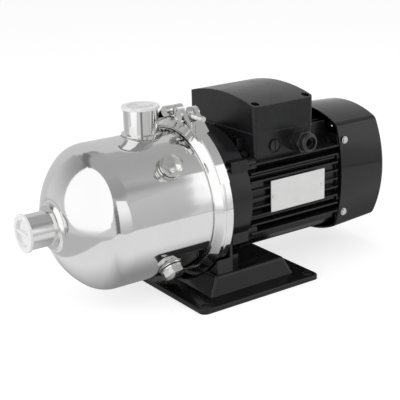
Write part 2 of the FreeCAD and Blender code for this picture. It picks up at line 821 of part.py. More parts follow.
def strap_near():
    """Strap end on the near side, slotted from above for the bolt and open in front for the nut."""
    centre = vec(0, NEAR_LOOP_Y, LATCH_HEIGHT)
    view = strap_outline(centre, NEAR_LOOP_R, NEAR_LEAVE_ANGLE, NEAR_WELD_ANGLE, -1)
    loop = latch_bar(NEAR_LOOP_Y, NEAR_LOOP_R, NEAR_LOOP_HALF, NEAR_LOOP_HALF)
    bore = latch_bar(NEAR_LOOP_Y, NEAR_LOOP_R - STRAP_SHEET, NEAR_LOOP_HALF, NEAR_LOOP_HALF)
    return strap_end(view, loop, bore).cut(near_cuts())


def strap_far():
    """Strap end on the far side, with a slot for the bolt's swing."""
    centre = vec(0, FAR_LOOP_Y, LATCH_HEIGHT)
    view = strap_outline(centre, FAR_LOOP_R, FAR_LEAVE_ANGLE, FAR_WELD_ANGLE, 1)
    loop = latch_bar(FAR_LOOP_Y, FAR_LOOP_R, FAR_LOOP_FRONT, FAR_LOOP_REAR)
    bore = latch_bar(FAR_LOOP_Y, FAR_LOOP_R - STRAP_SHEET, NEAR_LOOP_HALF, NEAR_LOOP_HALF)
    half = BOLT_SLOT / 2
    slot = box_between(vec(CLAMP_X - half, FAR_LOOP_Y - 2 * FAR_LOOP_R, bolt_axis_height() - half),
                       vec(CLAMP_X + half, FAR_LOOP_Y + half, bolt_axis_height() + 2 * FAR_LOOP_R))
    head_room = latch_bar(FAR_LOOP_Y, FAR_LOOP_R + FREE_GAP, 2 * NEAR_LOOP_HALF, -FAR_LOOP_FRONT)
    return strap_end(view, loop, bore).cut([slot, head_room])


def trunnion():
    """Half-open barrel in the near loop, on which the nut bears."""
    length = NEAR_LOOP_HALF - BREAK_EDGE
    bar = latch_bar(NEAR_LOOP_Y, NEAR_LOOP_R - STRAP_SHEET - FIT_GAP, length, length)
    return bar.cut(near_cuts())


def t_bolt():
    shank = rod(vec(CLAMP_X, FAR_LOOP_Y, bolt_axis_height()), -Y_DIR, T_BOLT_LENGTH, T_BOLT_R)
    head_start = FAR_LOOP_FRONT + 2 * FIT_GAP
    barrel = latch_bar(FAR_LOOP_Y, FAR_LOOP_R - STRAP_SHEET - RUNNING_GAP, head_start, FAR_LOOP_REAR)
    head = latch_bar(FAR_LOOP_Y, FAR_LOOP_R, head_start + T_BOLT_HEAD, -head_start)
    return united([shank, barrel, head])


def clamp_nut():
    base = vec(CLAMP_X, nut_seat_y(), bolt_axis_height())
    nut = hex_bar(LATCH_NUT_AF, LATCH_NUT_HEIGHT, base, -Y_DIR)
    return nut.cut(rod(base, -Y_DIR, LATCH_NUT_HEIGHT, T_BOLT_R + RUNNING_GAP))


def pedestal():
    """Foot block of the bracket, hollowed round the clamp and behind."""
    half = PEDESTAL_HALF_WIDTH
    block = box_between(vec(PEDESTAL_FRONT_X, -half, RAISED_TOP), vec(PEDESTAL_REAR_X, half, AXIS_HEIGHT))
    recess_end = CLAMP_X + CLAMP_HALF_WIDTH + BREAK_EDGE
    recess = bar_x(PEDESTAL_FRONT_X - 1, recess_end, CLAMP_TOP_R + RING_RECESS_GAP)
    pads = []
    for side in SIDES:
        low = vec(PEDESTAL_REAR_X - 1, side * PAD_Y - PAD_WIDTH / 2, RAISED_TOP)
        pads.append(box_between(low, low + vec(PAD_LENGTH + 1, PAD_WIDTH, PAD_HEIGHT)))
    return united([block.cut(recess)] + pads)


def lug_blocks():
    blocks = []
    for y, z in four_corners(LUG_Y, LUG_Z):
        low = vec(MOTOR_SEAM_X - LUG_LENGTH, y - LUG_SIZE / 2, AXIS_HEIGHT + z - LUG_SIZE / 2)
        block = box_between(low, low + vec(LUG_LENGTH, LUG_SIZE, LUG_SIZE))
        blocks.append(block.makeFillet(2 * BREAK_EDGE, [e for e in block.Edges if is_along(e, X_DIR)]))
    return blocks


def is_along(edge, direction):
    """True for a straight edge that runs along a direction."""
    if len(edge.Vertexes) != 2:
        return False
    run = edge.Vertexes[1].Point - edge.Vertexes[0].Point
    return abs(abs(run.normalize().dot(direction)) - 1) < 1e-6


def front_bearing_x():
    return MOTOR_SEAM_X - BEARING_WIDTH - BEARING_SHOULDER


def bracket_turning():
    """Flange, drum, web and bearing housing, turned about the shaft line."""
    rim = CLAMP_X + FLANGE_RIM_HALF
    root = CLAMP_X + FLANGE_ROOT_HALF
    housing_r = BEARING_OUTER_R + HOUSING_WALL
    bearing_x = front_bearing_x()
    lip_r = BEARING_OUTER_R - BEARING_SHOULDER
    web_x = MOTOR_SEAM_X - DRUM_WEB
    return turned(
        xr(BRACKET_FACE_X, DRUM_BORE_R), xr(BRACKET_FACE_X, FLANGE_RIM_R), xr(rim, FLANGE_RIM_R),
        xr(root, FLANGE_ROOT_R), xr(root, DRUM_R), xr(MOTOR_SEAM_X, DRUM_R),
        xr(MOTOR_SEAM_X, FRAME_BORE_R - FIT_GAP), xr(MOTOR_SEAM_X + SPIGOT_LENGTH, FRAME_BORE_R - FIT_GAP),
        xr(MOTOR_SEAM_X + SPIGOT_LENGTH, FRAME_BORE_R - SPIGOT_WALL),
        xr(MOTOR_SEAM_X, FRAME_BORE_R - SPIGOT_WALL),
        xr(MOTOR_SEAM_X, BEARING_OUTER_R), xr(bearing_x, BEARING_OUTER_R),
        xr(bearing_x, lip_r), xr(bearing_x - BEARING_SHOULDER, lip_r),
        xr(bearing_x - BEARING_SHOULDER, housing_r), xr(web_x, housing_r), xr(web_x, DRUM_BORE_R))


def lug_tunnels():
    """Round pockets in the drum that give room for the motor bolts' heads."""
    start = CLAMP_X + FLANGE_ROOT_HALF + LUG_POCKET_WALL
    return [(bar_x(start, MOTOR_SEAM_X, LUG_POCKET_R + LUG_POCKET_WALL, y, z),
             bar_x(start + LUG_POCKET_WALL, MOTOR_SEAM_X - LUG_LENGTH, LUG_POCKET_R, y, z))
            for y, z in four_corners(LUG_Y, LUG_Z)]


def motor_bracket():
    tunnels = lug_tunnels()
    body = united([bracket_turning(), pedestal().cut(bar_x(PEDESTAL_FRONT_X, 0, DRUM_BORE_R))]
                  + [solid.common(bar_x(PEDESTAL_FRONT_X, MOTOR_SEAM_X, DRUM_R)) for solid, _ in tunnels]
                  + lug_blocks())
    holes = [pocket for _, pocket in tunnels]
    holes += [bar_x(MOTOR_SEAM_X - LUG_LENGTH - OVERCUT, MOTOR_SEAM_X, MOTOR_BOLT_R + FIT_GAP, y, z)
              for y, z in four_corners(LUG_Y, LUG_Z)]
    holes += [bar_x(MOTOR_SEAM_X - DRUM_WEB, MOTOR_SEAM_X, TIE_ROD_R + FIT_GAP, y, z)
              for y, z in four_corners(TIE_ROD_Y, TIE_ROD_Z)]
    holes += [rod(vec(x, y, RAISED_TOP), Z_DIR, FOOT_BOLT_GRIP + FREE_GAP, FOOT_BOLT_R + FIT_GAP)
              for x, y in foot_bolt_places()]
    foot = vec(PEDESTAL_FRONT_X, -PEDESTAL_HALF_WIDTH, 0)
    holes.append(box_between(foot, vec(MOTOR_SEAM_X + BREAK_EDGE, PEDESTAL_HALF_WIDTH, RAISED_TOP)))
    weep_x = (PEDESTAL_REAR_X + MOTOR_SEAM_X - DRUM_WEB) / 2
    holes.append(rod(vec(weep_x, 0, 0), Z_DIR, AXIS_HEIGHT, WEEP_R))
    return body.cut(holes)


def foot_bolt_places():
    front_x = (PEDESTAL_FRONT_X + PEDESTAL_REAR_X) / 2
    front_y = PEDESTAL_HALF_WIDTH - PEDESTAL_LEG / 2
    rear_x = PEDESTAL_REAR_X + PAD_LENGTH / 2
    return [(x, side * y) for x, y in ((front_x, front_y), (rear_x, PAD_Y)) for side in SIDES]


def foot_bolts():
    bolts = []
    seat = RAISED_TOP - BASE_SHEET
    for x, y in foot_bolt_places():
        shank = rod(vec(x, y, seat), Z_DIR, BASE_SHEET + FOOT_BOLT_GRIP, FOOT_BOLT_R)
        bolts.append(united([shank, hex_bar(FOOT_BOLT_AF, FOOT_BOLT_HEAD, vec(x, y, seat), -Z_DIR)]))
    return group(bolts)


def motor_bolts():
    bolts = []
    seat_x = MOTOR_SEAM_X - LUG_LENGTH
    for y, z in four_corners(LUG_Y, LUG_Z):
        shank = bar_x(seat_x, MOTOR_SEAM_X + LUG_BOSS_LENGTH - MOTOR_BOLT_REST, MOTOR_BOLT_R, y, z)
        head = hex_bar(MOTOR_BOLT_AF, MOTOR_BOLT_HEAD, vec(seat_x, y, AXIS_HEIGHT + z), -X_DIR)
        bolts.append(united([shank, head]))
    return group(bolts)


def rounded_slab(half_x, half_y, z0, z1, corner, centre_x=0.0, centre_y=0.0):
    slab = box_between(vec(centre_x - half_x, centre_y - half_y, z0),
                       vec(centre_x + half_x, centre_y + half_y, z1))
    return slab.makeFillet(corner, [e for e in slab.Edges if is_along(e, Z_DIR)])


def rectangle_wire(half_x, half_y, z, centre_x):
    corners = [vec(centre_x - half_x, -half_y, z), vec(centre_x + half_x, -half_y, z),
               vec(centre_x + half_x, half_y, z), vec(centre_x - half_x, half_y, z)]
    return Part.makePolygon(corners + corners[:1])


def raised_form(inset):
    """Sloping middle of the base plate; inset is the sheet's thickness for its inner side."""
    top = RAISED_TOP - inset
    foot = BASE_RIM - inset
    return Part.makeLoft([
        rectangle_wire(RAISED_FOOT_HALF_X - inset, RAISED_FOOT_HALF_Y - inset, foot, RAISED_CENTRE_X),
        rectangle_wire(RAISED_TOP_HALF_X - inset, RAISED_TOP_HALF_Y - inset, top, RAISED_CENTRE_X)
        ], True, True)


def base_form(inset):
    half_x = BASE_LENGTH / 2 - inset
    half_y = BASE_WIDTH / 2 - inset
    slab = rounded_slab(half_x, half_y, 0, BASE_RIM - inset, BASE_CORNER - inset)
    whole = united([slab, raised_form(inset)])
    bends = [e for e in whole.Edges if bend_of_raised(e, inset)]
    return whole.makeFillet(RAISED_BEND - inset / 2, bends)


def bend_of_raised(edge, inset):
    """Edges of the raised middle, top and slanted ones."""
    box = edge.BoundBox
    return box.ZMax > RAISED_TOP - inset - TOUCH


def base_plate():
    shell = base_form(0).cut(base_form(BASE_SHEET))
    rim = [e for e in shell.Edges if abs(e.BoundBox.ZMin - BASE_RIM) < TOUCH
           and max(abs(e.BoundBox.YMin), abs(e.BoundBox.YMax), abs(e.BoundBox.XMin)) > BASE_LENGTH / 2 - TOUCH
           and abs(e.BoundBox.ZMax - BASE_RIM) < TOUCH
           and is_outer_rim(e)]
    seats = [rod(vec(x, y, 0), Z_DIR, BASE_RIM - BREAK_EDGE, BASE_SEAT_R) for x, y in base_hole_places()]
    shell = united([shell.makeFillet(BREAK_EDGE * 2, rim), trough_sheet()] + seats)
    cuts = [trough(BREAK_EDGE, 0)]
    for x, y in base_hole_places():
        cuts.append(rod(vec(x, y, 0), Z_DIR, BASE_RIM + OVERCUT, BASE_HOLE_R))
    for x, y in foot_bolt_places():
        cuts.append(rod(vec(x, y, 0), Z_DIR, RAISED_TOP + OVERCUT, FOOT_BOLT_R + FIT_GAP))
    return shell.cut(cuts)


def trough(start_gap, sheet):
    """Round bar that clears the clamp ring; sheet makes it larger and longer by a wall's thickness."""
    start = RAISED_CENTRE_X - RAISED_FOOT_HALF_X - start_gap
    end = CLAMP_X + CLAMP_HALF_WIDTH + BREAK_EDGE * 2
    return bar_x(start, end + sheet, CLAMP_TOP_R + RING_WINDOW_GAP + sheet)


def trough_sheet():
    """Wall of the trough in which the clamp ring's lowest part runs, with room for the foot bolts' heads."""
    sheet = trough(0, BASE_SHEET).cut(trough(BREAK_EDGE, 0)).common(base_form(0))
    return sheet.cut([rod(vec(x, y, 0), Z_DIR, RAISED_TOP - BASE_SHEET, FOOT_BOLT_ROOM_R)
                      for x, y in foot_bolt_places()])


def is_outer_rim(edge):
    """True for an edge on the outline of the plate's flange."""
    middle = edge.BoundBox.Center
    reach_x = BASE_LENGTH / 2 - BASE_CORNER
    reach_y = BASE_WIDTH / 2 - BASE_CORNER
    return abs(middle.x) > reach_x or abs(middle.y) > reach_y


def base_hole_places():
    return [(sx * HOLE_SPACING_X / 2, sy * HOLE_SPACING_Y / 2) for sx in SIDES for sy in SIDES]


def side_fins():
    fins = []
    for k in range(-SIDE_FIN_PAIRS, SIDE_FIN_PAIRS + 1):
        z = AXIS_HEIGHT + k * FIN_PITCH
        fins.append(box_between(vec(MOTOR_SEAM_X + FRAME_BAND, -FIN_REACH, z - FIN_THICKNESS / 2),
                                vec(FRAME_END_X, FIN_REACH, z + FIN_THICKNESS / 2)))
    return fins


def top_fins():
    fins = []
    for k in range(-TOP_FIN_PAIRS, TOP_FIN_PAIRS + 1):
        y = k * FIN_PITCH
        low = vec(MOTOR_SEAM_X + FRAME_BAND, y - FIN_THICKNESS / 2, AXIS_HEIGHT - FIN_FOOT_REACH)
        fins.append(box_between(low,
                                vec(FRAME_END_X, y + FIN_THICKNESS / 2, AXIS_HEIGHT + FIN_REACH)))
    return fins


def corner_pads():
    """Smooth rails along the two lower corners of the frame."""
    pads = []
    for side in SIDES:
        def at(y, z):
            return vec(MOTOR_SEAM_X, side * y, AXIS_HEIGHT + z)
        shape = face_of(at(CORNER_INNER_Y, -CORNER_FOOT_Z), at(CORNER_FOOT_Y, -CORNER_FOOT_Z),
                        at(CORNER_Y - CORNER_SLANT_Y, -CORNER_Z - CORNER_SLANT_Z), at(CORNER_Y, -CORNER_Z),
                        at(CORNER_INNER_Y, -CORNER_Z))
        pads.append(shape.extrude(vec(FRAME_LENGTH, 0, 0)))
    return pads


def box_pad_top():
    return AXIS_HEIGHT + FRAME_CORE_R + BOX_PAD_RISE


def box_shadow():
    """Room that the terminal box takes out of the frame's fins."""
    low = vec(BOX_START - BREAK_EDGE, BOX_MID_Y - BOX_HALF_WIDTH - BREAK_EDGE, BOX_FOOT - FREE_GAP)
    high = vec(BOX_START + BOX_LENGTH + BREAK_EDGE, BOX_MID_Y + BOX_HALF_WIDTH + BREAK_EDGE, BOX_SEAM)
    return box_between(low, high)


def motor_frame():
    band = bar_x(MOTOR_SEAM_X, MOTOR_SEAM_X + FRAME_BAND, FRAME_BAND_R)
    core = bar_x(MOTOR_SEAM_X, FRAME_END_X, FRAME_CORE_R)
    fins = [fin.cut(box_shadow()) for fin in side_fins() + top_fins()]
    pad = box_between(vec(BOX_START + BOX_WALL, -BOX_PAD_HALF_Y, AXIS_HEIGHT),
                      vec(BOX_START + BOX_LENGTH - BOX_WALL, BOX_PAD_HALF_Y, box_pad_top()))
    bosses = [bar_x(MOTOR_SEAM_X, MOTOR_SEAM_X + LUG_BOSS_LENGTH, LUG_BOSS_R, y, z)
              for y, z in four_corners(LUG_Y, LUG_Z)]
    posts = [rod(vec(x, 0, rivet_height()), -Y_DIR, FIN_REACH, RIVET_POST_R) for x in rivet_places()]
    body = united([core, band, pad, earth_boss()] + fins + corner_pads() + bosses + posts)
    holes = [bar_x(MOTOR_SEAM_X - OVERCUT, FRAME_END_X + OVERCUT, FRAME_BORE_R)]
    bolt_end = MOTOR_SEAM_X + LUG_BOSS_LENGTH - MOTOR_BOLT_REST + FREE_GAP
    holes += [bar_x(MOTOR_SEAM_X - OVERCUT, bolt_end, MOTOR_BOLT_R + FIT_GAP, y, z)
              for y, z in four_corners(LUG_Y, LUG_Z)]
    holes += [bar_x(MOTOR_SEAM_X - OVERCUT, FRAME_END_X + OVERCUT, TIE_ROD_R + FREE_GAP, y, z)
              for y, z in four_corners(TIE_ROD_Y, TIE_ROD_Z)]
    holes += [rod(vec(x, -FRAME_BORE_R, rivet_height()), -Y_DIR, FIN_REACH, RIVET_R) for x in rivet_places()]
    earth_hole = earth_point(FRAME_BORE_R + EARTH_HOLE_WALL)
    holes.append(rod(earth_hole, radial(EARTH_ANGLE), FRAME_BAND_R, EARTH_SCREW_R))
    return body.cut(holes)


def earth_point(r):
    return on_ray(EARTH_X, EARTH_ANGLE, r)


def earth_boss():
    foot = (FRAME_BORE_R + FRAME_CORE_R) / 2
    return rod(earth_point(foot), radial(EARTH_ANGLE), FRAME_BAND_R - foot, EARTH_BOSS_R)


def earth_screw():
    out = radial(EARTH_ANGLE)
    foot = FRAME_BORE_R + 2
    shank = rod(earth_point(foot), out, FRAME_BAND_R - foot + EARTH_HEAD / 2, EARTH_SCREW_R - FIT_GAP)
    return united([shank, rod(earth_point(FRAME_BAND_R), out, EARTH_HEAD, EARTH_HEAD_R)])


def rivet_height():
    return PLATE_FOOT + PLATE_HEIGHT / 2


def rivet_places():
    return (PLATE_START + RIVET_INSET, PLATE_START + PLATE_LENGTH - RIVET_INSET)


def nameplate():
    plate = box_between(vec(PLATE_START, -FIN_REACH - PLATE_SHEET, PLATE_FOOT),
                        vec(PLATE_START + PLATE_LENGTH, -FIN_REACH, PLATE_FOOT + PLATE_HEIGHT))
    corners = [e for e in plate.Edges if is_along(e, Y_DIR)]
    holes = [rod(vec(x, -FIN_REACH, rivet_height()), -Y_DIR, 2 * PLATE_SHEET, RIVET_R)
             for x in rivet_places()]
    return plate.makeFillet(BREAK_EDGE, corners).cut(holes)


def nameplate_rivets():
    rivets = []
    for x in rivet_places():
        shank = rod(vec(x, -FRAME_CORE_R, rivet_height()), -Y_DIR, FIN_REACH + PLATE_SHEET - FRAME_CORE_R,
                    RIVET_R - FIT_GAP)
        head = rod(vec(x, -FIN_REACH - PLATE_SHEET, rivet_height()), -Y_DIR, RIVET_HEAD, RIVET_HEAD_R)
        rivets.append(united([shank, head]))
    return group(rivets)


def rear_bearing_x():
    return FRAME_END_X + SHIELD_THICKNESS - REAR_BEARING_WIDTH - SHIELD_WEB


def rear_shield():
    """End shield with its bearing housing, spigot and lugs for the tie rods and the cover."""
    end_x = FRAME_END_X + SHIELD_THICKNESS
    spigot_r = FRAME_BORE_R - FIT_GAP
    housing_r = REAR_BEARING_OUTER_R + HOUSING_WALL
    seat_x = rear_bearing_x()
    lip_r = REAR_BEARING_OUTER_R - BEARING_SHOULDER
    disc = turned(
        xr(end_x, lip_r), xr(end_x, SHIELD_R), xr(FRAME_END_X, SHIELD_R),
        xr(FRAME_END_X, spigot_r), xr(FRAME_END_X - SPIGOT_LENGTH, spigot_r),
        xr(FRAME_END_X - SPIGOT_LENGTH, spigot_r - SPIGOT_WALL), xr(FRAME_END_X, spigot_r - SPIGOT_WALL),
        xr(FRAME_END_X, housing_r), xr(seat_x, housing_r), xr(seat_x, REAR_BEARING_OUTER_R),
        xr(seat_x + REAR_BEARING_WIDTH, REAR_BEARING_OUTER_R),
        xr(seat_x + REAR_BEARING_WIDTH, lip_r))
    lugs = [bar_x(FRAME_END_X, end_x, TIE_LUG_R, y, z) for y, z in four_corners(TIE_ROD_Y, TIE_ROD_Z)]
    body = united([disc] + lugs + cover_lugs())
    holes = [bar_x(FRAME_END_X - OVERCUT, end_x + OVERCUT, TIE_ROD_R + FIT_GAP, y, z)
             for y, z in four_corners(TIE_ROD_Y, TIE_ROD_Z)]
    holes += [rod(vec(cover_screw_x(), side_y * 2 * COVER_HALF_WIDTH, AXIS_HEIGHT + side_z * COVER_SCREW_Z),
                  -Y_DIR * side_y, 2 * COVER_HALF_WIDTH - lug_foot_y(), COVER_SCREW_R)
              for side_y in SIDES for side_z in SIDES]
    return body.cut(holes)


def cover_screw_x():
    return COVER_START + COVER_SCREW_X


def lug_foot_y():
    return COVER_HALF_WIDTH - COVER_LUG - COVER_LUG_LENGTH


def cover_lugs():
    """Blocks on the shield, inside the cover's side walls, that take the cover screws."""
    half = COVER_LUG / 2
    lugs = []
    inner = cover_solid(COVER_SHEET + FREE_GAP)
    for side_y in SIDES:
        for side_z in SIDES:
            z = AXIS_HEIGHT + side_z * COVER_SCREW_Z
            y_out = side_y * COVER_HALF_WIDTH
            y_in = side_y * (COVER_HALF_WIDTH - 2 * COVER_LUG)
            block = box_between(vec(FRAME_END_X, min(y_in, y_out), z - half),
                                vec(cover_screw_x() + half, max(y_in, y_out), z + half))
            lugs.append(block.common(inner))
    return lugs


def tie_rods():
    rods = []
    end_x = FRAME_END_X + SHIELD_THICKNESS
    for y, z in four_corners(TIE_ROD_Y, TIE_ROD_Z):
        shank = bar_x(MOTOR_SEAM_X - DRUM_WEB + BREAK_EDGE, end_x, TIE_ROD_R, y, z)
        head = hex_bar(TIE_ROD_AF, TIE_ROD_HEAD, vec(end_x, y, AXIS_HEIGHT + z), X_DIR)
        rods.append(united([shank, head]))
    return group(rods)


def bearing_rings(x, width, bore_r, outer_r):
    """Outer ring of a ball bearing, and its inner ring with the balls."""
    ball_r = (outer_r - bore_r) * BALL_SHARE
    track_r = (outer_r + bore_r) / 2
    outer = tube_x(x, x + width, outer_r - FIT_GAP, track_r + ball_r + FIT_GAP / 2)
    inner = tube_x(x, x + width, track_r - ball_r - FIT_GAP / 2, bore_r)
    ball = Part.makeSphere(ball_r, vec(x + width / 2, track_r, AXIS_HEIGHT))
    return outer, group([inner] + around(ball, BALL_COUNT))


def stator_core():
    return tube_x(STATOR_START, STATOR_START + STATOR_LENGTH, STATOR_R, STATOR_BORE_R)


def stator_windings():
    """Winding heads on both ends of the core, as rings with chamfered edges."""
    bevel = WINDING_REACH / 4
    ends = []
    for start in (STATOR_START - WINDING_REACH, STATOR_START + STATOR_LENGTH):
        end = start + WINDING_REACH
        ends.append(turned(
            xr(start, WINDING_INNER_R + bevel), xr(start, WINDING_OUTER_R - bevel),
            xr(start + bevel, WINDING_OUTER_R), xr(end - bevel, WINDING_OUTER_R),
            xr(end, WINDING_OUTER_R - bevel), xr(end, WINDING_INNER_R + bevel),
            xr(end - bevel, WINDING_INNER_R), xr(start + bevel, WINDING_INNER_R)))
    return group(ends)


def motor_rotor():
    stack = tube_x(STATOR_START, STATOR_START + STATOR_LENGTH, STATOR_BORE_R - AIR_GAP, SHAFT_CORE_R)
    ring_out = STATOR_BORE_R - AIR_GAP - ROTOR_RING_STEP
    rings = [tube_x(x, x + WINDING_REACH / 2, ring_out, ring_out - ROTOR_RING)
             for x in (STATOR_START - WINDING_REACH / 2, STATOR_START + STATOR_LENGTH)]
    return united([stack] + rings)


def impeller_x(stage):
    return STACK_START_X + stage * STAGE_PITCH + IMPELLER_START


def shaft():
    """Stepped shaft from the impeller nut to the fan."""
    first = impeller_x(0)
    bearing_x = front_bearing_x()
    rear_x = rear_bearing_x()
    tail_x = rear_x + REAR_BEARING_WIDTH
    return turned(
        xr(first - THREAD_END_LENGTH, 0), xr(first - THREAD_END_LENGTH, THREAD_END_R),
        xr(first, THREAD_END_R),
        xr(first, PUMP_SHAFT_R), xr(BRACKET_FACE_X, PUMP_SHAFT_R), xr(BRACKET_FACE_X, NECKED_SHAFT_R),
        xr(bearing_x, NECKED_SHAFT_R), xr(bearing_x, BEARING_BORE_R),
        xr(bearing_x + BEARING_WIDTH, BEARING_BORE_R),
        xr(bearing_x + BEARING_WIDTH, SHAFT_CORE_R), xr(rear_x, SHAFT_CORE_R),
        xr(rear_x, REAR_BEARING_BORE_R),
        xr(tail_x, REAR_BEARING_BORE_R), xr(tail_x, FAN_SEAT_R), xr(tail_x + FAN_SEAT_LENGTH, FAN_SEAT_R),
        xr(tail_x + FAN_SEAT_LENGTH, 0))


def swept_blade(x0, x1, r_in, r_out, thickness, sweep):
    """Backward curved blade between two radii, as an arc-shaped strip along X."""
    def at(r, angle, offset):
        turn = math.radians(angle)
        across = r * math.sin(turn) + offset * math.cos(turn)
        return vec(0, across, r * math.cos(turn) - offset * math.sin(turn))
    half = thickness / 2
    middle = (r_in + r_out) / 2
    bend = sweep * BLADE_BEND
    strip = face_of(at(r_in, 0, -half), (at(middle, bend, -half), at(r_out, sweep, -half)),
                    at(r_out, sweep, half), (at(middle, bend, half), at(r_in, 0, half)))
    return at_axis(strip.extrude(vec(x1 - x0, 0, 0)).translated(vec(x0, 0, 0)))


def impeller(stage):
    x = impeller_x(stage)
    passage = x + IMPELLER_SHROUD
    back = passage + IMPELLER_PASSAGE
    eye = IMPELLER_EYE_R
    front = turned(
        xr(x - IMPELLER_START + FREE_GAP, eye), xr(x - IMPELLER_START + FREE_GAP, EYE_R - FREE_GAP),
        xr(x, EYE_R - FREE_GAP), xr(x, IMPELLER_R), xr(passage, IMPELLER_R), xr(passage, eye))
    rear = turned(
        xr(passage, PUMP_SHAFT_R), xr(passage, HUB_R), xr(back, HUB_R), xr(back, IMPELLER_R),
        xr(back + IMPELLER_SHROUD, IMPELLER_R), xr(back + IMPELLER_SHROUD, HUB_R),
        xr(x + HUB_LENGTH, HUB_R), xr(x + HUB_LENGTH, PUMP_SHAFT_R))
    blade = swept_blade(passage, back, eye - 2, IMPELLER_R - BREAK_EDGE, IMPELLER_BLADE, BLADE_SWEEP)
    return united([front, rear] + around(blade, IMPELLER_BLADES))


def shaft_spacers():
    """Sleeves on the shaft between the impellers' hubs."""
    sleeves = []
    for stage in range(STAGES - 1):
        start = impeller_x(stage) + HUB_LENGTH
        end = impeller_x(stage + 1) + IMPELLER_SHROUD
        sleeves.append(tube_x(start, end, SPACER_R, PUMP_SHAFT_R))
    sleeves.append(tube_x(impeller_x(STAGES - 1) + HUB_LENGTH, bellows_start_x(), SPACER_R, PUMP_SHAFT_R))
    sleeves.append(tube_x(impeller_x(0), impeller_x(0) + IMPELLER_SHROUD, SPACER_R, PUMP_SHAFT_R))
    return group(sleeves)


def impeller_nut():
    base = vec(impeller_x(0), 0, AXIS_HEIGHT)
    nut = hex_bar(IMPELLER_NUT_AF, IMPELLER_NUT_HEIGHT, base, -X_DIR)
    return nut.cut(rod(base, -X_DIR, IMPELLER_NUT_HEIGHT, THREAD_END_R))


def stage_chamber(stage):
    """Sleeve of one stage, with its front wall, middle plate and return vanes."""
    x = STACK_START_X + stage * STAGE_PITCH
    end = x + STAGE_PITCH
    bore = SLEEVE_R - SLEEVE_WALL
    plate = x + MID_PLATE_OFFSET + SLEEVE_WALL / 2
    cup = turned(xr(x, EYE_R), xr(x, SLEEVE_R), xr(end, SLEEVE_R), xr(end, bore),
                 xr(x + SLEEVE_WALL, bore), xr(x + SLEEVE_WALL, EYE_R))
    middle = tube_x(plate, plate + SLEEVE_WALL, MID_PLATE_R, HUB_R + FREE_GAP)
    vane = swept_blade(plate, end, HUB_R + VANE_START, bore + SLEEVE_WALL / 2, VANE, -BLADE_SWEEP)
    return united([cup, middle] + around(vane, VANES))


def inlet_guide():
    """Funnel from the suction stub to the first impeller, with the stack's front plate."""
    plate = STACK_START_X - SLEEVE_WALL
    tube_end = suction_inner_x() - GUIDE_TUBE_REACH
    bore = GUIDE_TUBE_R - SLEEVE_WALL
    cone_x = suction_inner_x() + SLEEVE_WALL
    return turned(
        xr(tube_end, bore), xr(tube_end, GUIDE_TUBE_R), xr(cone_x, GUIDE_TUBE_R),
        xr(plate - SLEEVE_WALL, EYE_R + SLEEVE_WALL), xr(plate, GUIDE_R - GUIDE_CHAMFER), xr(plate, GUIDE_R),
        xr(STACK_START_X, GUIDE_R), xr(STACK_START_X, EYE_R), xr(cone_x, bore))


def stage_straps():
    """Flat stays that hook over the inlet guide and hold the stack to the seal plate."""
    inner = GUIDE_R + FIT_GAP
    hook_x = STACK_START_X - SLEEVE_WALL - STAY_HOOK
    end_x = SEAL_PLATE_X - SEAL_PLATE_SPIGOT
    half = STAY_WIDTH / 2
    low = vec(hook_x, -half, AXIS_HEIGHT + inner)
    stay = box_between(low, vec(end_x, half, AXIS_HEIGHT + inner + STAY_SHEET))
    hook = box_between(vec(hook_x, -half, AXIS_HEIGHT + inner - STAY_HOOK_DEPTH),
                       vec(hook_x + STAY_HOOK - FREE_GAP, half, AXIS_HEIGHT + inner + STAY_SHEET))
    strap = united([stay, hook])
    strap.rotate(vec(0, 0, AXIS_HEIGHT), X_DIR, STRAP_TURN)
    return group(around(strap, STRAP_COUNT))


def seal_plate():
    """Cover behind the stages: rim between the flanges, spigot with its ring groove, seal housing."""
    spigot_x = SEAL_PLATE_X - SEAL_PLATE_SPIGOT
    spigot_r = CAVITY_R - FREE_GAP
    groove_r = CAVITY_R - 2 * O_RING_R
    groove_mid = SEAL_PLATE_X - SEAL_PLATE_SPIGOT / 2
    housing = SEAL_SEAT_R + SEAL_PLATE_WALL
    seat_x = seal_seat_x()
    return turned(
        xr(spigot_x, SEAL_SEAT_R), xr(spigot_x, spigot_r), xr(groove_mid - O_RING_R, spigot_r),
        xr(groove_mid - O_RING_R, groove_r), xr(groove_mid + O_RING_R, groove_r),
        xr(groove_mid + O_RING_R, spigot_r), xr(SEAL_PLATE_X, spigot_r), xr(SEAL_PLATE_X, FLANGE_RIM_R),
        xr(BRACKET_FACE_X, FLANGE_RIM_R), xr(BRACKET_FACE_X, DRUM_BORE_R + SEAL_PLATE_SLOPE),
        xr(spigot_x + SEAL_PLATE_WALL, DRUM_BORE_R - SEAL_PLATE_SLOPE),
        xr(spigot_x + SEAL_PLATE_WALL, housing),
        xr(seat_x + SEAL_SEAT_LENGTH + SEAL_PLATE_WALL, housing),
        xr(seat_x + SEAL_SEAT_LENGTH + SEAL_PLATE_WALL, NECKED_SHAFT_R + 2),
        xr(seat_x + SEAL_SEAT_LENGTH, NECKED_SHAFT_R + 2), xr(seat_x + SEAL_SEAT_LENGTH, SEAL_SEAT_R))


def casing_o_ring():
    """Sealing ring squeezed into its groove, eight-sided in section."""
    middle = SEAL_PLATE_X - SEAL_PLATE_SPIGOT / 2
    centre_r = CAVITY_R - O_RING_R
    reach = O_RING_R - FIT_GAP / 2
    flat = reach * math.tan(math.pi / O_RING_SIDES)
    corners = [(-reach, -flat), (-reach, flat), (-flat, reach), (flat, reach),
               (reach, flat), (reach, -flat), (flat, -reach), (-flat, -reach)]
    points = [xr(middle + dx, centre_r + dr) for dx, dr in corners]
    return turned(points[0], *points[1:])


def seal_seat_x():
    return SEAL_PLATE_X - SEAL_PLATE_SPIGOT


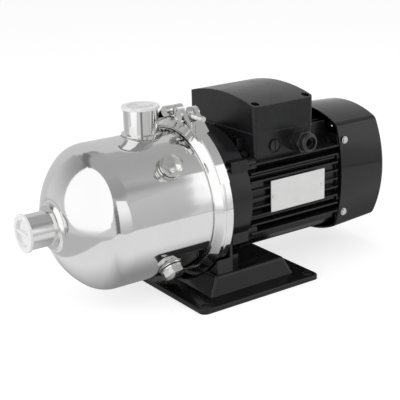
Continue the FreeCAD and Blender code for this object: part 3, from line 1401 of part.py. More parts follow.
def seal_seat():
    start = seal_seat_x()
    return tube_x(start, start + SEAL_SEAT_LENGTH, SEAL_SEAT_R - FIT_GAP, PUMP_SHAFT_R + BREAK_EDGE)


def bellows_start_x():
    return impeller_x(STAGES - 1) + HUB_LENGTH + BELLOWS_GAP


def seal_rotating_ring():
    end = seal_seat_x() - RUNNING_GAP
    return tube_x(end - SEAL_RING_LENGTH, end, SEAL_RING_R, PUMP_SHAFT_R)


def seal_bellows():
    """Rubber bellows that presses the rotating ring against its seat."""
    start = bellows_start_x()
    end = seal_seat_x() - RUNNING_GAP - SEAL_RING_LENGTH
    step = (end - start) / (2 * BELLOWS_TURNS)
    points = [xr(start, BELLOWS_R - BELLOWS_FOLD)]
    for k in range(1, 2 * BELLOWS_TURNS):
        points.append(xr(start + k * step, BELLOWS_R if k % 2 else BELLOWS_R - BELLOWS_FOLD))
    points += [xr(end, BELLOWS_R - BELLOWS_FOLD), xr(end, PUMP_SHAFT_R)]
    return turned(xr(start, PUMP_SHAFT_R), *points)


def slinger():
    start = (BRACKET_FACE_X + front_bearing_x()) / 2
    hub_r = NECKED_SHAFT_R + SLINGER_HUB
    return turned(xr(start, NECKED_SHAFT_R), xr(start, SLINGER_R), xr(start + SLINGER_WIDTH / 3, SLINGER_R),
                  xr(start + SLINGER_WIDTH, hub_r), xr(start + 2 * SLINGER_WIDTH, hub_r),
                  xr(start + 2 * SLINGER_WIDTH, NECKED_SHAFT_R))


def fan_start_x():
    return rear_bearing_x() + REAR_BEARING_WIDTH + FAN_GAP


def cooling_fan():
    """Plastic fan with straight radial blades, so that it blows the same both ways round."""
    x = fan_start_x()
    hub = tube_x(x, x + FAN_HUB_LENGTH, FAN_HUB_R, FAN_SEAT_R)
    start = x + FAN_DISC_INSET
    disc = tube_x(start, start + FAN_DISC, FAN_DISC_R, FAN_SEAT_R)
    root = FAN_HUB_R - FAN_BLADE_ROOT
    view = face_of(vec(start, 0, root), vec(start, 0, FAN_DISC_R), vec(start + FAN_DISC * 2, 0, FAN_R),
                   vec(start + FAN_BLADE_WIDTH, 0, FAN_R),
                   vec(start + FAN_BLADE_WIDTH, 0, FAN_HUB_R + FAN_BLADE_RISE),
                   vec(x + FAN_HUB_LENGTH - FAN_DISC_INSET, 0, root))
    blade = at_axis(view.extrude(vec(0, FAN_BLADE, 0)).translated(vec(0, -FAN_BLADE / 2, 0)))
    return united([hub, disc] + around(blade, FAN_BLADES))


def fan_clip():
    """Spring ring that holds the fan on its seat."""
    x = fan_start_x() + FAN_HUB_LENGTH
    ring = tube_x(x, x + CLIP_SHEET, FAN_SEAT_R + CLIP_WIDTH, FAN_SEAT_R)
    return ring.cut(box_between(vec(x - OVERCUT, -CLIP_HALF_GAP, AXIS_HEIGHT),
                                vec(x + CLIP_SHEET + OVERCUT, CLIP_HALF_GAP, AXIS_HEIGHT + 2 * FAN_SEAT_R)))


def cover_taper(lip, end, x):
    """Size of the cover at a place along the shaft, between its lip and its end."""
    return lip + (end - lip) * (x - COVER_START) / COVER_LENGTH


def cover_corner(x):
    return (cover_taper(COVER_LIP_CORNER_Y, COVER_END_CORNER_Y, x),
            cover_taper(COVER_LIP_CORNER_Z, COVER_END_CORNER_Z, x))


def cover_section(x, inset):
    """Rounded square of four shallow arcs at a place along the shaft."""
    y, z = cover_corner(x)
    crown = cover_taper(COVER_LIP_HEIGHT, COVER_END_HEIGHT, x) - inset
    side = COVER_HALF_WIDTH - inset
    y -= inset
    z -= inset

    def at(across_y, up):
        return vec(x, across_y, AXIS_HEIGHT + up)
    return outline(at(-y, z), (at(0, crown), at(y, z)), (at(side, 0), at(y, -z)),
                   (at(0, -crown), at(-y, -z)), (at(-side, 0), at(-y, z)))


def cover_solid(inset):
    """Tapered block of the fan cover; inset makes the block of its inside."""
    start = COVER_START - (1 if inset else 0)
    end = COVER_END_X - inset
    block = Part.makeLoft([cover_section(start, inset), cover_section(end, inset)], True, True)
    corner_edges = [e for e in block.Edges if joins_ends(e, start, end)]
    block = block.makeFillet(COVER_CORNER_FILLET - inset, corner_edges)
    rim = [e for e in block.Edges if e.BoundBox.XMin > end - 0.01]
    return block.makeFillet(COVER_END_FILLET - inset, rim)


def joins_ends(edge, start, end):
    """True for an edge that runs from one end of the cover to the other."""
    return edge.BoundBox.XMin < start + 0.01 and edge.BoundBox.XMax > end - 0.01


def grille_slots():
    """Rings of curved slots in the cover's end."""
    slots = []
    x0 = COVER_END_X - COVER_SHEET - OVERCUT
    x1 = COVER_END_X + OVERCUT
    for ring in range(GRILLE_RINGS):
        inner = GRILLE_FIRST_R + ring * GRILLE_PITCH
        spread = math.radians(360.0 / GRILLE_SECTORS / 2) - GRILLE_BRIDGE / 2 / (inner + GRILLE_SLOT / 2)

        def at(r, turn):
            return vec(x0, r * math.sin(turn), r * math.cos(turn))
        slot = face_of(at(inner, -spread), (at(inner, 0), at(inner, spread)), at(inner + GRILLE_SLOT, spread),
                       (at(inner + GRILLE_SLOT, 0), at(inner + GRILLE_SLOT, -spread)))
        slots += around(at_axis(slot.extrude(vec(x1 - x0, 0, 0))), GRILLE_SECTORS)
    return slots


def fan_cover():
    shell = cover_solid(0).cut(cover_solid(COVER_SHEET))
    holes = grille_slots()
    for side_z in SIDES:
        holes.append(rod(vec(cover_screw_x(), -2 * COVER_HALF_WIDTH, AXIS_HEIGHT + side_z * COVER_SCREW_Z),
                         Y_DIR, 4 * COVER_HALF_WIDTH, COVER_SCREW_R + FREE_GAP))
    return shell.cut(holes)


def cover_side_y(z):
    """Half width of the cover at its screws, at a height from the shaft line."""
    corner_y, corner_z = cover_corner(cover_screw_x())
    drop = COVER_HALF_WIDTH - corner_y
    r = (corner_z ** 2 + drop ** 2) / (2 * drop)
    return COVER_HALF_WIDTH - r + math.sqrt(r ** 2 - z ** 2)


def cover_screws():
    screws = []
    seat = cover_side_y(COVER_SCREW_Z - COVER_SCREW_HEAD_R)
    for side_y in SIDES:
        for side_z in SIDES:
            out = Y_DIR * side_y
            z = AXIS_HEIGHT + side_z * COVER_SCREW_Z
            foot = lug_foot_y() + COVER_SCREW_REST
            shank = rod(vec(cover_screw_x(), side_y * foot, z), out, seat - foot, COVER_SCREW_R - FIT_GAP)
            head = rod(vec(cover_screw_x(), side_y * seat, z), out, COVER_SCREW_HEAD, COVER_SCREW_HEAD_R)
            screws.append(united([shank, head]))
    return group(screws)


def box_block(z0, z1, inset):
    half_x = BOX_LENGTH / 2 - inset
    half_y = BOX_HALF_WIDTH - inset
    return rounded_slab(half_x, half_y, z0, z1, BOX_CORNER - inset / 2, BOX_MID_X, BOX_MID_Y)


def lid_screw_places():
    dx = BOX_LENGTH / 2 - LID_SCREW_INSET
    dy = BOX_HALF_WIDTH - LID_SCREW_INSET
    return [(BOX_MID_X + sx * dx, BOX_MID_Y + sy * dy) for sx in SIDES for sy in SIDES]


def saddle(gap):
    """Space of the motor frame under the box, with a gap to its surface."""
    core = bar_x(BOX_START - 1, BOX_START + BOX_LENGTH + 1, FRAME_CORE_R + gap)
    pad = box_between(vec(BOX_START - 1, -BOX_PAD_HALF_Y - gap, AXIS_HEIGHT),
                      vec(BOX_START + BOX_LENGTH + OVERCUT, BOX_PAD_HALF_Y + gap, box_pad_top() + gap))
    return united([core, pad])


def terminal_box():
    """Lower half of the box: walls, saddle-shaped floor and four screw columns."""
    walls = box_block(BOX_FOOT, BOX_SEAM - BOX_GASKET, 0)
    cavity = box_block(BOX_FOOT - OVERCUT, BOX_SEAM, BOX_WALL).cut(saddle(BOX_WALL + FREE_GAP))
    columns = [rod(vec(x, y, BOX_FOOT), Z_DIR, BOX_SEAM - BOX_GASKET - BOX_FOOT, COLUMN_R)
               for x, y in lid_screw_places()]
    columns = [column.common(box_block(BOX_FOOT, BOX_SEAM, 0)) for column in columns]
    body = united([walls.cut(cavity)] + columns)
    cuts = [saddle(FIT_GAP)]
    cuts += [rod(vec(x, y, BOX_SEAM - LID_THREAD_DEPTH), Z_DIR, LID_THREAD_DEPTH + OVERCUT,
                 LID_SCREW_R + RUNNING_GAP)
             for x, y in lid_screw_places()]
    wall_y = gland_face_y() - OVERCUT
    through = BOX_WALL + 2 * OVERCUT
    cuts.append(rod(vec(GLAND_X, wall_y, GLAND_HEIGHT), Y_DIR, through, GLAND_THREAD_R + FIT_GAP))
    cuts.append(rod(vec(BLANK_X, wall_y, BLANK_HEIGHT), Y_DIR, BLANK_RECESS + OVERCUT, BLANK_RECESS_R))
    cuts.append(rod(vec(BLANK_X, wall_y, BLANK_HEIGHT), Y_DIR, through, BLANK_R + FIT_GAP))
    wire_way = box_between(vec(BOX_MID_X - WIRE_WAY_HALF_X, -WIRE_WAY_HALF_Y, box_pad_top() - OVERCUT),
                           vec(BOX_MID_X + WIRE_WAY_HALF_X, WIRE_WAY_HALF_Y, BOX_SEAM))
    return body.cut(cuts + [wire_way])


def lid_arch(inset):
    """Prism under the arched crown of the lid, which curves across the motor."""
    x0 = BOX_START - OVERCUT
    near = BOX_MID_Y - BOX_HALF_WIDTH
    far = BOX_MID_Y + BOX_HALF_WIDTH
    corner = LID_CORNER - inset
    shape = face_of(vec(x0, near, BOX_SEAM - OVERCUT), vec(x0, near, corner),
                    (vec(x0, BOX_MID_Y, LID_CROWN - inset), vec(x0, far, corner)),
                    vec(x0, far, BOX_SEAM - OVERCUT))
    return shape.extrude(vec(BOX_LENGTH + 2 * OVERCUT, 0, 0))


def terminal_lid():
    """Arched lid with four recessed screws in its corner columns."""
    outer = box_block(BOX_SEAM, LID_CROWN + OVERCUT, 0).common(lid_arch(0))
    inner = box_block(BOX_SEAM - OVERCUT, LID_CROWN + OVERCUT, BOX_WALL).common(lid_arch(BOX_WALL))
    columns = [rod(vec(x, y, BOX_SEAM), Z_DIR, LID_CROWN - BOX_SEAM, COLUMN_R) for x, y in lid_screw_places()]
    columns = [column.common(outer) for column in columns]
    body = united([outer.cut(inner)] + columns)
    cuts = []
    for x, y in lid_screw_places():
        cuts.append(rod(vec(x, y, BOX_SEAM - OVERCUT), Z_DIR, LID_CROWN, LID_SCREW_R + RUNNING_GAP))
        cuts.append(rod(vec(x, y, lid_screw_seat()), Z_DIR, LID_CROWN, LID_RECESS_R))
    return body.cut(cuts)


def lid_screw_seat():
    return LID_CORNER - SCREW_SEAT_HEIGHT


def lid_screws():
    screws = []
    for x, y in lid_screw_places():
        foot = BOX_SEAM - LID_SCREW_REACH
        shank = rod(vec(x, y, foot), Z_DIR, lid_screw_seat() - foot, LID_SCREW_R)
        head = rod(vec(x, y, lid_screw_seat()), Z_DIR, LID_SCREW_HEAD, LID_SCREW_HEAD_R)
        screws.append(united([shank, head]))
    return group(screws)


def terminal_gasket():
    ring = box_block(BOX_SEAM - BOX_GASKET, BOX_SEAM - FIT_GAP, GASKET_INSET)
    ring = ring.cut(box_block(BOX_SEAM - 2 * OVERCUT, BOX_SEAM + OVERCUT, BOX_WALL))
    corners = [rod(vec(x, y, BOX_SEAM - BOX_GASKET), Z_DIR, BOX_GASKET - FIT_GAP, COLUMN_R - GASKET_INSET)
               for x, y in lid_screw_places()]
    outside = box_block(BOX_SEAM - 2 * OVERCUT, BOX_SEAM + OVERCUT, GASKET_INSET)
    corners = [corner.common(outside) for corner in corners]
    holes = [rod(vec(x, y, BOX_SEAM - 2 * OVERCUT), Z_DIR, 4 * OVERCUT, LID_SCREW_R + RUNNING_GAP)
             for x, y in lid_screw_places()]
    return united([ring] + corners).cut(holes)


def box_floor():
    return box_pad_top() + FREE_GAP + BOX_WALL


def block_middle():
    return vec(BOX_MID_X, BLOCK_Y, box_floor())


def stud_places():
    middle = block_middle()
    return [(middle.x + k * STUD_PITCH, middle.y + side * BLOCK_WIDTH / 4)
            for k in (-1, 0, 1) for side in SIDES]


def terminal_block():
    low = block_middle() + vec(-BLOCK_LENGTH / 2, -BLOCK_WIDTH / 2, 0)
    block = box_between(low, low + vec(BLOCK_LENGTH, BLOCK_WIDTH, BLOCK_HEIGHT))
    ribs = []
    for k in (-1, 1):
        x = block_middle().x + k * STUD_PITCH / 2
        foot = vec(x - BLOCK_RIB / 2, low.y, low.z)
        ribs.append(box_between(foot, foot + vec(BLOCK_RIB, BLOCK_WIDTH, BLOCK_HEIGHT + BLOCK_RIB_RISE)))
    return united([block] + ribs)


def terminal_studs():
    """Six studs with their nuts, and the three links between them."""
    top = box_floor() + BLOCK_HEIGHT
    pieces = []
    for x, y in stud_places():
        stud = rod(vec(x, y, top), Z_DIR, STUD_HEIGHT, STUD_R)
        nut = hex_bar(STUD_NUT_AF, STUD_NUT_HEIGHT, vec(x, y, top + LINK_SHEET), Z_DIR)
        pieces.append(united([stud, nut]))
    links = []
    middle = block_middle()
    for k in (-1, 0, 1):
        x = middle.x + k * STUD_PITCH
        reach = BLOCK_WIDTH / 4 + LINK_REACH
        link = box_between(vec(x - LINK_HALF_WIDTH, middle.y - reach, top),
                           vec(x + LINK_HALF_WIDTH, middle.y + reach, top + LINK_SHEET))
        links.append(united([link] + pieces[2 * (k + 1):2 * (k + 1) + 2]))
    return group(links)


def gland_axis(y):
    return vec(GLAND_X, y, GLAND_HEIGHT)


def gland_face_y():
    return BOX_MID_Y - BOX_HALF_WIDTH


def cable_gland_body():
    """Gland body: threaded tail in the box wall, hexagon and tube for the nut."""
    face = gland_face_y()
    hexagon = hex_bar(GLAND_HEX, GLAND_HEX_WIDTH, gland_axis(face), -Y_DIR)
    tube = rod(gland_axis(face - GLAND_HEX_WIDTH), -Y_DIR, GLAND_BODY_LENGTH, GLAND_BODY_R)
    tail = rod(gland_axis(face + GLAND_TAIL), -Y_DIR, GLAND_TAIL, GLAND_THREAD_R)
    length = GLAND_TAIL + GLAND_HEX_WIDTH + GLAND_BODY_LENGTH
    bore = rod(gland_axis(face + GLAND_TAIL), -Y_DIR, length, GLAND_CABLE_R + GLAND_LINER)
    return united([hexagon, tube, tail]).cut(bore)


def gland_seal():
    """Rubber sleeve in the gland that grips the cable."""
    face = gland_face_y() - GLAND_HEX_WIDTH
    length = GLAND_BODY_LENGTH + GLAND_LINER_PROUD
    sleeve = rod(gland_axis(face), -Y_DIR, length, GLAND_CABLE_R + GLAND_LINER - FIT_GAP)
    return sleeve.cut(rod(gland_axis(face), -Y_DIR, length, GLAND_CABLE_R))


def gland_nut():
    """Dome nut of the gland, hexagonal at its inner end."""
    start = gland_face_y() - GLAND_HEX_WIDTH - FREE_GAP
    mouth = GLAND_CABLE_R + GLAND_LINER + FREE_GAP
    skirt = hex_bar(2 * GLAND_NUT_R, GLAND_NUT_LENGTH * GLAND_SKIRT, gland_axis(start), -Y_DIR)
    dome = rod(gland_axis(start), -Y_DIR, GLAND_NUT_LENGTH, GLAND_NUT_R - GLAND_DOME_INSET)
    edges = [e for e in dome.Edges if e.BoundBox.YMax < start - GLAND_NUT_LENGTH + TOUCH]
    dome = dome.makeFillet(GLAND_NUT_R * GLAND_DOME_ROUND, edges)
    hollow = rod(gland_axis(start), -Y_DIR, GLAND_BODY_LENGTH, GLAND_BODY_R + FIT_GAP)
    bore = rod(gland_axis(start), -Y_DIR, GLAND_NUT_LENGTH + OVERCUT, mouth)
    return united([skirt, dome]).cut([hollow, bore])


def blanking_plug():
    """Plug of the unused entry: disc in the recess with a screwdriver slot."""
    wall = gland_face_y()
    axis_x = vec(BLANK_X, 0, BLANK_HEIGHT)
    depth = BOX_WALL + BLANK_TAIL
    tail = rod(axis_x + vec(0, wall + depth, 0), -Y_DIR, depth + BLANK_PROUD, BLANK_R)
    slot = box_between(vec(BLANK_X - BLANK_SLOT_HALF, wall - BLANK_PROUD - OVERCUT, BLANK_HEIGHT - BLANK_R),
                       vec(BLANK_X + BLANK_SLOT_HALF, wall - BLANK_PROUD + BLANK_SLOT_DEPTH,
                           BLANK_HEIGHT + BLANK_R))
    return tail.cut(slot)


def save_pump_end():
    save("pump_casing", pump_casing())
    save("suction_stub", suction_stub())
    save("discharge_stub", discharge_stub())
    save("suction_cap", suction_cap())
    save("discharge_cap", discharge_cap())
    save("plug_bosses", group(boss(*place) for _, *place in plug_places()))
    save("plug_washers", group(seal_washer(*place) for _, *place in plug_places()))
    for name, *place in plug_places():
        save(name + "_plug", plug(*place))
    save("clamp_ring", clamp_ring())
    save("clamp_strap_near", strap_near())
    save("clamp_strap_far", strap_far())
    save("clamp_trunnion", trunnion())
    save("clamp_t_bolt", t_bolt())
    save("clamp_nut", clamp_nut())


def save_stages():
    save("inlet_guide", inlet_guide())
    save("stage_chambers", group(stage_chamber(stage) for stage in range(STAGES)))
    save("impellers", group(impeller(stage) for stage in range(STAGES)))
    save("stage_straps", stage_straps())
    save("shaft_spacers", shaft_spacers())
    save("impeller_nut", impeller_nut())
    save("seal_plate", seal_plate())
    save("casing_o_ring", casing_o_ring())
    save("seal_seat", seal_seat())
    save("seal_rotating_ring", seal_rotating_ring())
    save("seal_bellows", seal_bellows())


def save_frame():
    save("base_plate", base_plate())
    save("foot_bolts", foot_bolts())
    save("motor_bracket", motor_bracket())
    save("motor_bolts", motor_bolts())


def save_motor():
    save("motor_frame", motor_frame())
    save("rear_shield", rear_shield())
    save("tie_rods", tie_rods())
    save("stator_core", stator_core())
    save("stator_windings", stator_windings())
    save("motor_rotor", motor_rotor())
    save("shaft", shaft())
    save("slinger", slinger())
    front = bearing_rings(front_bearing_x(), BEARING_WIDTH, BEARING_BORE_R, BEARING_OUTER_R)
    rear = bearing_rings(rear_bearing_x(), REAR_BEARING_WIDTH, REAR_BEARING_BORE_R, REAR_BEARING_OUTER_R)
    for name, rings in (("front", front), ("rear", rear)):
        save(name + "_bearing_outer", rings[0])
        save(name + "_bearing_inner", rings[1])
    save("cooling_fan", cooling_fan())
    save("fan_clip", fan_clip())
    save("fan_cover", fan_cover())
    save("cover_screws", cover_screws())
    save("nameplate", nameplate())
    save("nameplate_rivets", nameplate_rivets())
    save("earth_screw", earth_screw())


def save_terminal_box():
    save("terminal_box", terminal_box())
    save("terminal_gasket", terminal_gasket())
    save("terminal_lid", terminal_lid())
    save("lid_screws", lid_screws())
    save("terminal_block", terminal_block())
    save("terminal_studs", terminal_studs())
    save("cable_gland_body", cable_gland_body())
    save("gland_seal", gland_seal())
    save("gland_nut", gland_nut())
    save("blanking_plug", blanking_plug())


save_pump_end()
save_stages()
save_frame()
save_motor()
save_terminal_box()
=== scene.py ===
"""Studio scene of a horizontal multistage pump: finishes, small details, camera and light."""

import json
import logging
import math
from collections.abc import Callable
from dataclasses import dataclass
from enum import Enum

import bpy
from mathutils import Matrix, Quaternion, Vector

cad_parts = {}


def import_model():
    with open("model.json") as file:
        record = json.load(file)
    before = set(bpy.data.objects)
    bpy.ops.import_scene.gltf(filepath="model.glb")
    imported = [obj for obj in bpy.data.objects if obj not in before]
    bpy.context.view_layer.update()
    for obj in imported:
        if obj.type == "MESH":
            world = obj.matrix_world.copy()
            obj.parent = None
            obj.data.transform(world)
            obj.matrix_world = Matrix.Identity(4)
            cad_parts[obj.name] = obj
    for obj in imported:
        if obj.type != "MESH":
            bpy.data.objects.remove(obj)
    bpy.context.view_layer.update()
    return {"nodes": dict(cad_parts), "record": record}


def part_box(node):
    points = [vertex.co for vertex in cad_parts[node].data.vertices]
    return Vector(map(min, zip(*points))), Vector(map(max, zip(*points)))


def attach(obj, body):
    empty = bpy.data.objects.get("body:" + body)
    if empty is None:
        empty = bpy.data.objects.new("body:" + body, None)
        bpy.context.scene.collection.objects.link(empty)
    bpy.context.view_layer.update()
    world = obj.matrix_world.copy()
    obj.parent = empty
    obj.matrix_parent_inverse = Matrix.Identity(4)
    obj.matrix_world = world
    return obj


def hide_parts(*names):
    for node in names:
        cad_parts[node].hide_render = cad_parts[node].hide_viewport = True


LOG = logging.getLogger("pump_scene")
MM = 0.001
SHAFT_HEIGHT = 0.105
# Edges that turn by more degrees than this stay sharp.
SHARP_FROM = 40.0
FULL_TURN = 360.0
WHITE = (1.0, 1.0, 1.0, 1.0)
FLOAT = "NodeSocketFloat"
VECTOR = "NodeSocketVector"
# The Mix node has several sockets of one name, so they are picked by number.
MIX_SHARE = 0
MIX_VALUES = (2, 3)
MIX_VALUE = 0
MIX_COLOURS = (6, 7)
MIX_COLOUR = 2

Colour = tuple[float, float, float]
Point = tuple[float, float, float]
Span = tuple[float, float]
Feed = float | tuple[float, ...] | bpy.types.NodeSocket
Sockets = dict[str, bpy.types.NodeSocket]


def opaque(colour: Colour) -> tuple[float, float, float, float]:
    """Adds full alpha to a colour."""
    return (*colour, 1.0)


class Graph:
    """Adds and links the nodes of one node tree."""

    def __init__(self, tree: bpy.types.NodeTree) -> None:
        """Keeps the tree that nodes are added to."""
        self.tree = tree

    def add(self, kind: str, feeds: dict[str | int, Feed] | None = None,
            **settings: object) -> bpy.types.Node:
        """Adds one node with its settings and inputs.

        Args:
            kind: Node type without its "ShaderNode" prefix.
            feeds: Input name or number to a plain value, or to a socket that feeds it.
            settings: Attributes of the node.

        Returns:
            The new node.
        """
        node = self.tree.nodes.new("ShaderNode" + kind)
        for name, setting in settings.items():
            setattr(node, name, setting)
        self.feed(node, feeds or {})
        return node

    def feed(self, node: bpy.types.Node, feeds: dict[str | int, Feed]) -> None:
        """Sets or links inputs of a node.

        Args:
            node: The node.
            feeds: Input name or number to a plain value, or to a socket that feeds it.
        """
        for name, feed in feeds.items():
            if isinstance(feed, bpy.types.NodeSocket):
                self.tree.links.new(feed, node.inputs[name])
            else:
                node.inputs[name].default_value = feed

    def math(self, operation: str, first: Feed, second: Feed = 0.0,
             clamp: bool = False) -> bpy.types.NodeSocket:
        """Adds a Math node.

        Args:
            operation: Blender's name of the operation.
            first: First value.
            second: Second value.
            clamp: True to keep the result between 0 and 1.

        Returns:
            The node's result.
        """
        node = self.add("Math", {0: first, 1: second}, operation=operation, use_clamp=clamp)
        return node.outputs[0]

    def spread(self, value: Feed, low: float, high: float, to_low: float = 0.0,
               to_high: float = 1.0) -> bpy.types.NodeSocket:
        """Maps a value smoothly from one range to another.

        Args:
            value: What is mapped.
            low: Value that becomes to_low.
            high: Value that becomes to_high.
            to_low: Start of the new range.
            to_high: End of the new range.

        Returns:
            The mapped value.
        """
        feeds = {"Value": value, "From Min": low, "From Max": high, "To Min": to_low, "To Max": to_high}
        return self.add("MapRange", feeds, interpolation_type="SMOOTHSTEP").outputs["Result"]

    def blend(self, share: Feed, first: Feed, second: Feed) -> bpy.types.NodeSocket:
        """Mixes two colours.

        Args:
            share: 0 for the first colour, 1 for the second.
            first: First colour, with its alpha.
            second: Second colour, with its alpha.

        Returns:
            The mixed colour.
        """
        feeds = {MIX_SHARE: share, MIX_COLOURS[0]: first, MIX_COLOURS[1]: second}
        return self.add("Mix", feeds, data_type="RGBA").outputs[MIX_COLOUR]

    def finish(self, shader: bpy.types.Node) -> None:
        """Makes a shader the material's surface."""
        self.tree.links.new(shader.outputs[0], self.tree.nodes["Material Output"].inputs["Surface"])


@dataclass(frozen=True)
class Effect:
    """A shader node group, built once and placed in every material that uses it."""

    label: str
    inputs: tuple[tuple[str, float], ...]
    outputs: tuple[tuple[str, str], ...]
    wire: Callable[[Graph, bpy.types.Node], Sockets]

    def tree(self) -> bpy.types.NodeTree:
        """Builds the group on first use.

        Returns:
            The group's node tree.
        """
        made = bpy.data.node_groups.get(self.label)
        if made:
            return made
        tree = bpy.data.node_groups.new(self.label, "ShaderNodeTree")
        for name, value in self.inputs:
            socket = tree.interface.new_socket(name, in_out="INPUT", socket_type=FLOAT)
            socket.default_value = value
        for name, kind in self.outputs:
            tree.interface.new_socket(name, in_out="OUTPUT", socket_type=kind)
        source = tree.nodes.new("NodeGroupInput")
        sink = tree.nodes.new("NodeGroupOutput")
        for name, socket in self.wire(Graph(tree), source).items():
            tree.links.new(socket, sink.inputs[name])
        return tree

    def place(self, graph: Graph, feeds: dict[str, Feed]) -> bpy.types.Node:
        """Places the group in a material.

        Args:
            graph: The material's nodes.
            feeds: Values of the group's inputs.

        Returns:
            The group's node.
        """
        node = graph.tree.nodes.new("ShaderNodeGroup")
        node.node_tree = self.tree()
        graph.feed(node, feeds)
        return node


BEVEL_SAMPLES = 6
# Cosines between the flat and the rounded normal where an edge begins to show and where it shows in full.
EDGE_TURN = (0.995, 0.8)
GRAIN_DETAIL = 3.0
PATCH_DETAIL = 4.0
PATCH_ROUGHNESS = 0.62
PATCH_RANGE = (0.3, 0.72)
LINE_STRETCH = 0.02
LINE_DETAIL = 5.0
LINE_ROUGHNESS = 0.7
DUST_SCALE = 34.0
DUST_DETAIL = 6.0
DUST_ROUGHNESS = 0.7
DUST_RANGE = (0.32, 0.75)
# How much a face looks up where dust begins to lie and where it lies in full.
DUST_SLOPE = (0.35, 1.0)


def soft_edges(graph: Graph, source: bpy.types.Node) -> Sockets:
    """Rounds sharp edges in the shading and marks where they are.

    Args:
        graph: The group's nodes.
        source: The group's input node, with the edge radius.

    Returns:
        The rounded normal, and a mask that is 1 on an edge.
    """
    bevel = graph.add("Bevel", {"Radius": source.outputs["Radius"]}, samples=BEVEL_SAMPLES)
    flat = graph.add("NewGeometry").outputs["Normal"]
    facing = graph.add("VectorMath", {0: bevel.outputs[0], 1: flat}, operation="DOT_PRODUCT")
    return {"Normal": bevel.outputs[0], "Edge": graph.spread(facing.outputs["Value"], *EDGE_TURN)}


def surface_grain(graph: Graph, source: bpy.types.Node) -> Sockets:
    """Fine skin of a casting, paint film or moulding, with broad uneven shading.

    Args:
        graph: The group's nodes.
        source: The group's input node, with grains per metre and patches per metre.

    Returns:
        The grain's height and a broad patch mask, each from 0 to 1.
    """
    place = graph.add("TexCoord").outputs["Object"]
    fine = graph.add("TexNoise", {"Vector": place, "Scale": source.outputs["Grains"],
                                  "Detail": GRAIN_DETAIL})
    broad = graph.add("TexNoise", {"Vector": place, "Scale": source.outputs["Patches"],
                                   "Detail": PATCH_DETAIL, "Roughness": PATCH_ROUGHNESS})
    return {"Height": fine.outputs["Fac"], "Patch": graph.spread(broad.outputs["Fac"], *PATCH_RANGE)}


def turned_lines(graph: Graph, source: bpy.types.Node) -> Sockets:
    """Fine rings round the shaft line, as a lathe or a polishing belt leaves them.

    Args:
        graph: The group's nodes.
        source: The group's input node, with lines per metre.

    Returns:
        The lines' height from 0 to 1.
    """
    place = graph.add("TexCoord").outputs["Object"]
    along = graph.add("Mapping", {"Vector": place, "Scale": (1.0, LINE_STRETCH, LINE_STRETCH)})
    noise = graph.add("TexNoise", {"Vector": along.outputs[0], "Scale": source.outputs["Lines"],
                                   "Detail": LINE_DETAIL, "Roughness": LINE_ROUGHNESS})
    return {"Height": noise.outputs["Fac"]}


def settled_dust(graph: Graph, source: bpy.types.Node) -> Sockets:
    """Thin dust that lies on faces that look up, in uneven patches.

    Args:
        graph: The group's nodes.
        source: The group's input node, with the most that the dust covers.

    Returns:
        A mask of where the dust lies.
    """
    facing = graph.add("SeparateXYZ", {0: graph.add("NewGeometry").outputs["Normal"]})
    place = graph.add("TexCoord").outputs["Object"]
    patches = graph.add("TexNoise", {"Vector": place, "Scale": DUST_SCALE, "Detail": DUST_DETAIL,
                                     "Roughness": DUST_ROUGHNESS})
    lying = graph.spread(facing.outputs["Z"], *DUST_SLOPE)
    uneven = graph.math("MULTIPLY", lying, graph.spread(patches.outputs["Fac"], *DUST_RANGE))
    return {"Mask": graph.math("MULTIPLY", uneven, source.outputs["Cover"], clamp=True)}


SOFT_EDGES = Effect("soft_edges", (("Radius", 0.0004),), (("Normal", VECTOR), ("Edge", FLOAT)), soft_edges)
SURFACE_GRAIN = Effect("surface_grain", (("Grains", 900.0), ("Patches", 14.0)),
                       (("Height", FLOAT), ("Patch", FLOAT)), surface_grain)
TURNED_LINES = Effect("turned_lines", (("Lines", 2500.0),), (("Height", FLOAT),), turned_lines)
SETTLED_DUST = Effect("settled_dust", (("Cover", 0.1),), (("Mask", FLOAT),), settled_dust)


def new_material(label: str) -> tuple[bpy.types.Material, Graph]:
    """Makes a material with nodes.

    Args:
        label: The material's name.

    Returns:
        The material and the graph of its nodes.
    """
    material = bpy.data.materials.new(label)
    material.use_nodes = True
    return material, Graph(material.node_tree)


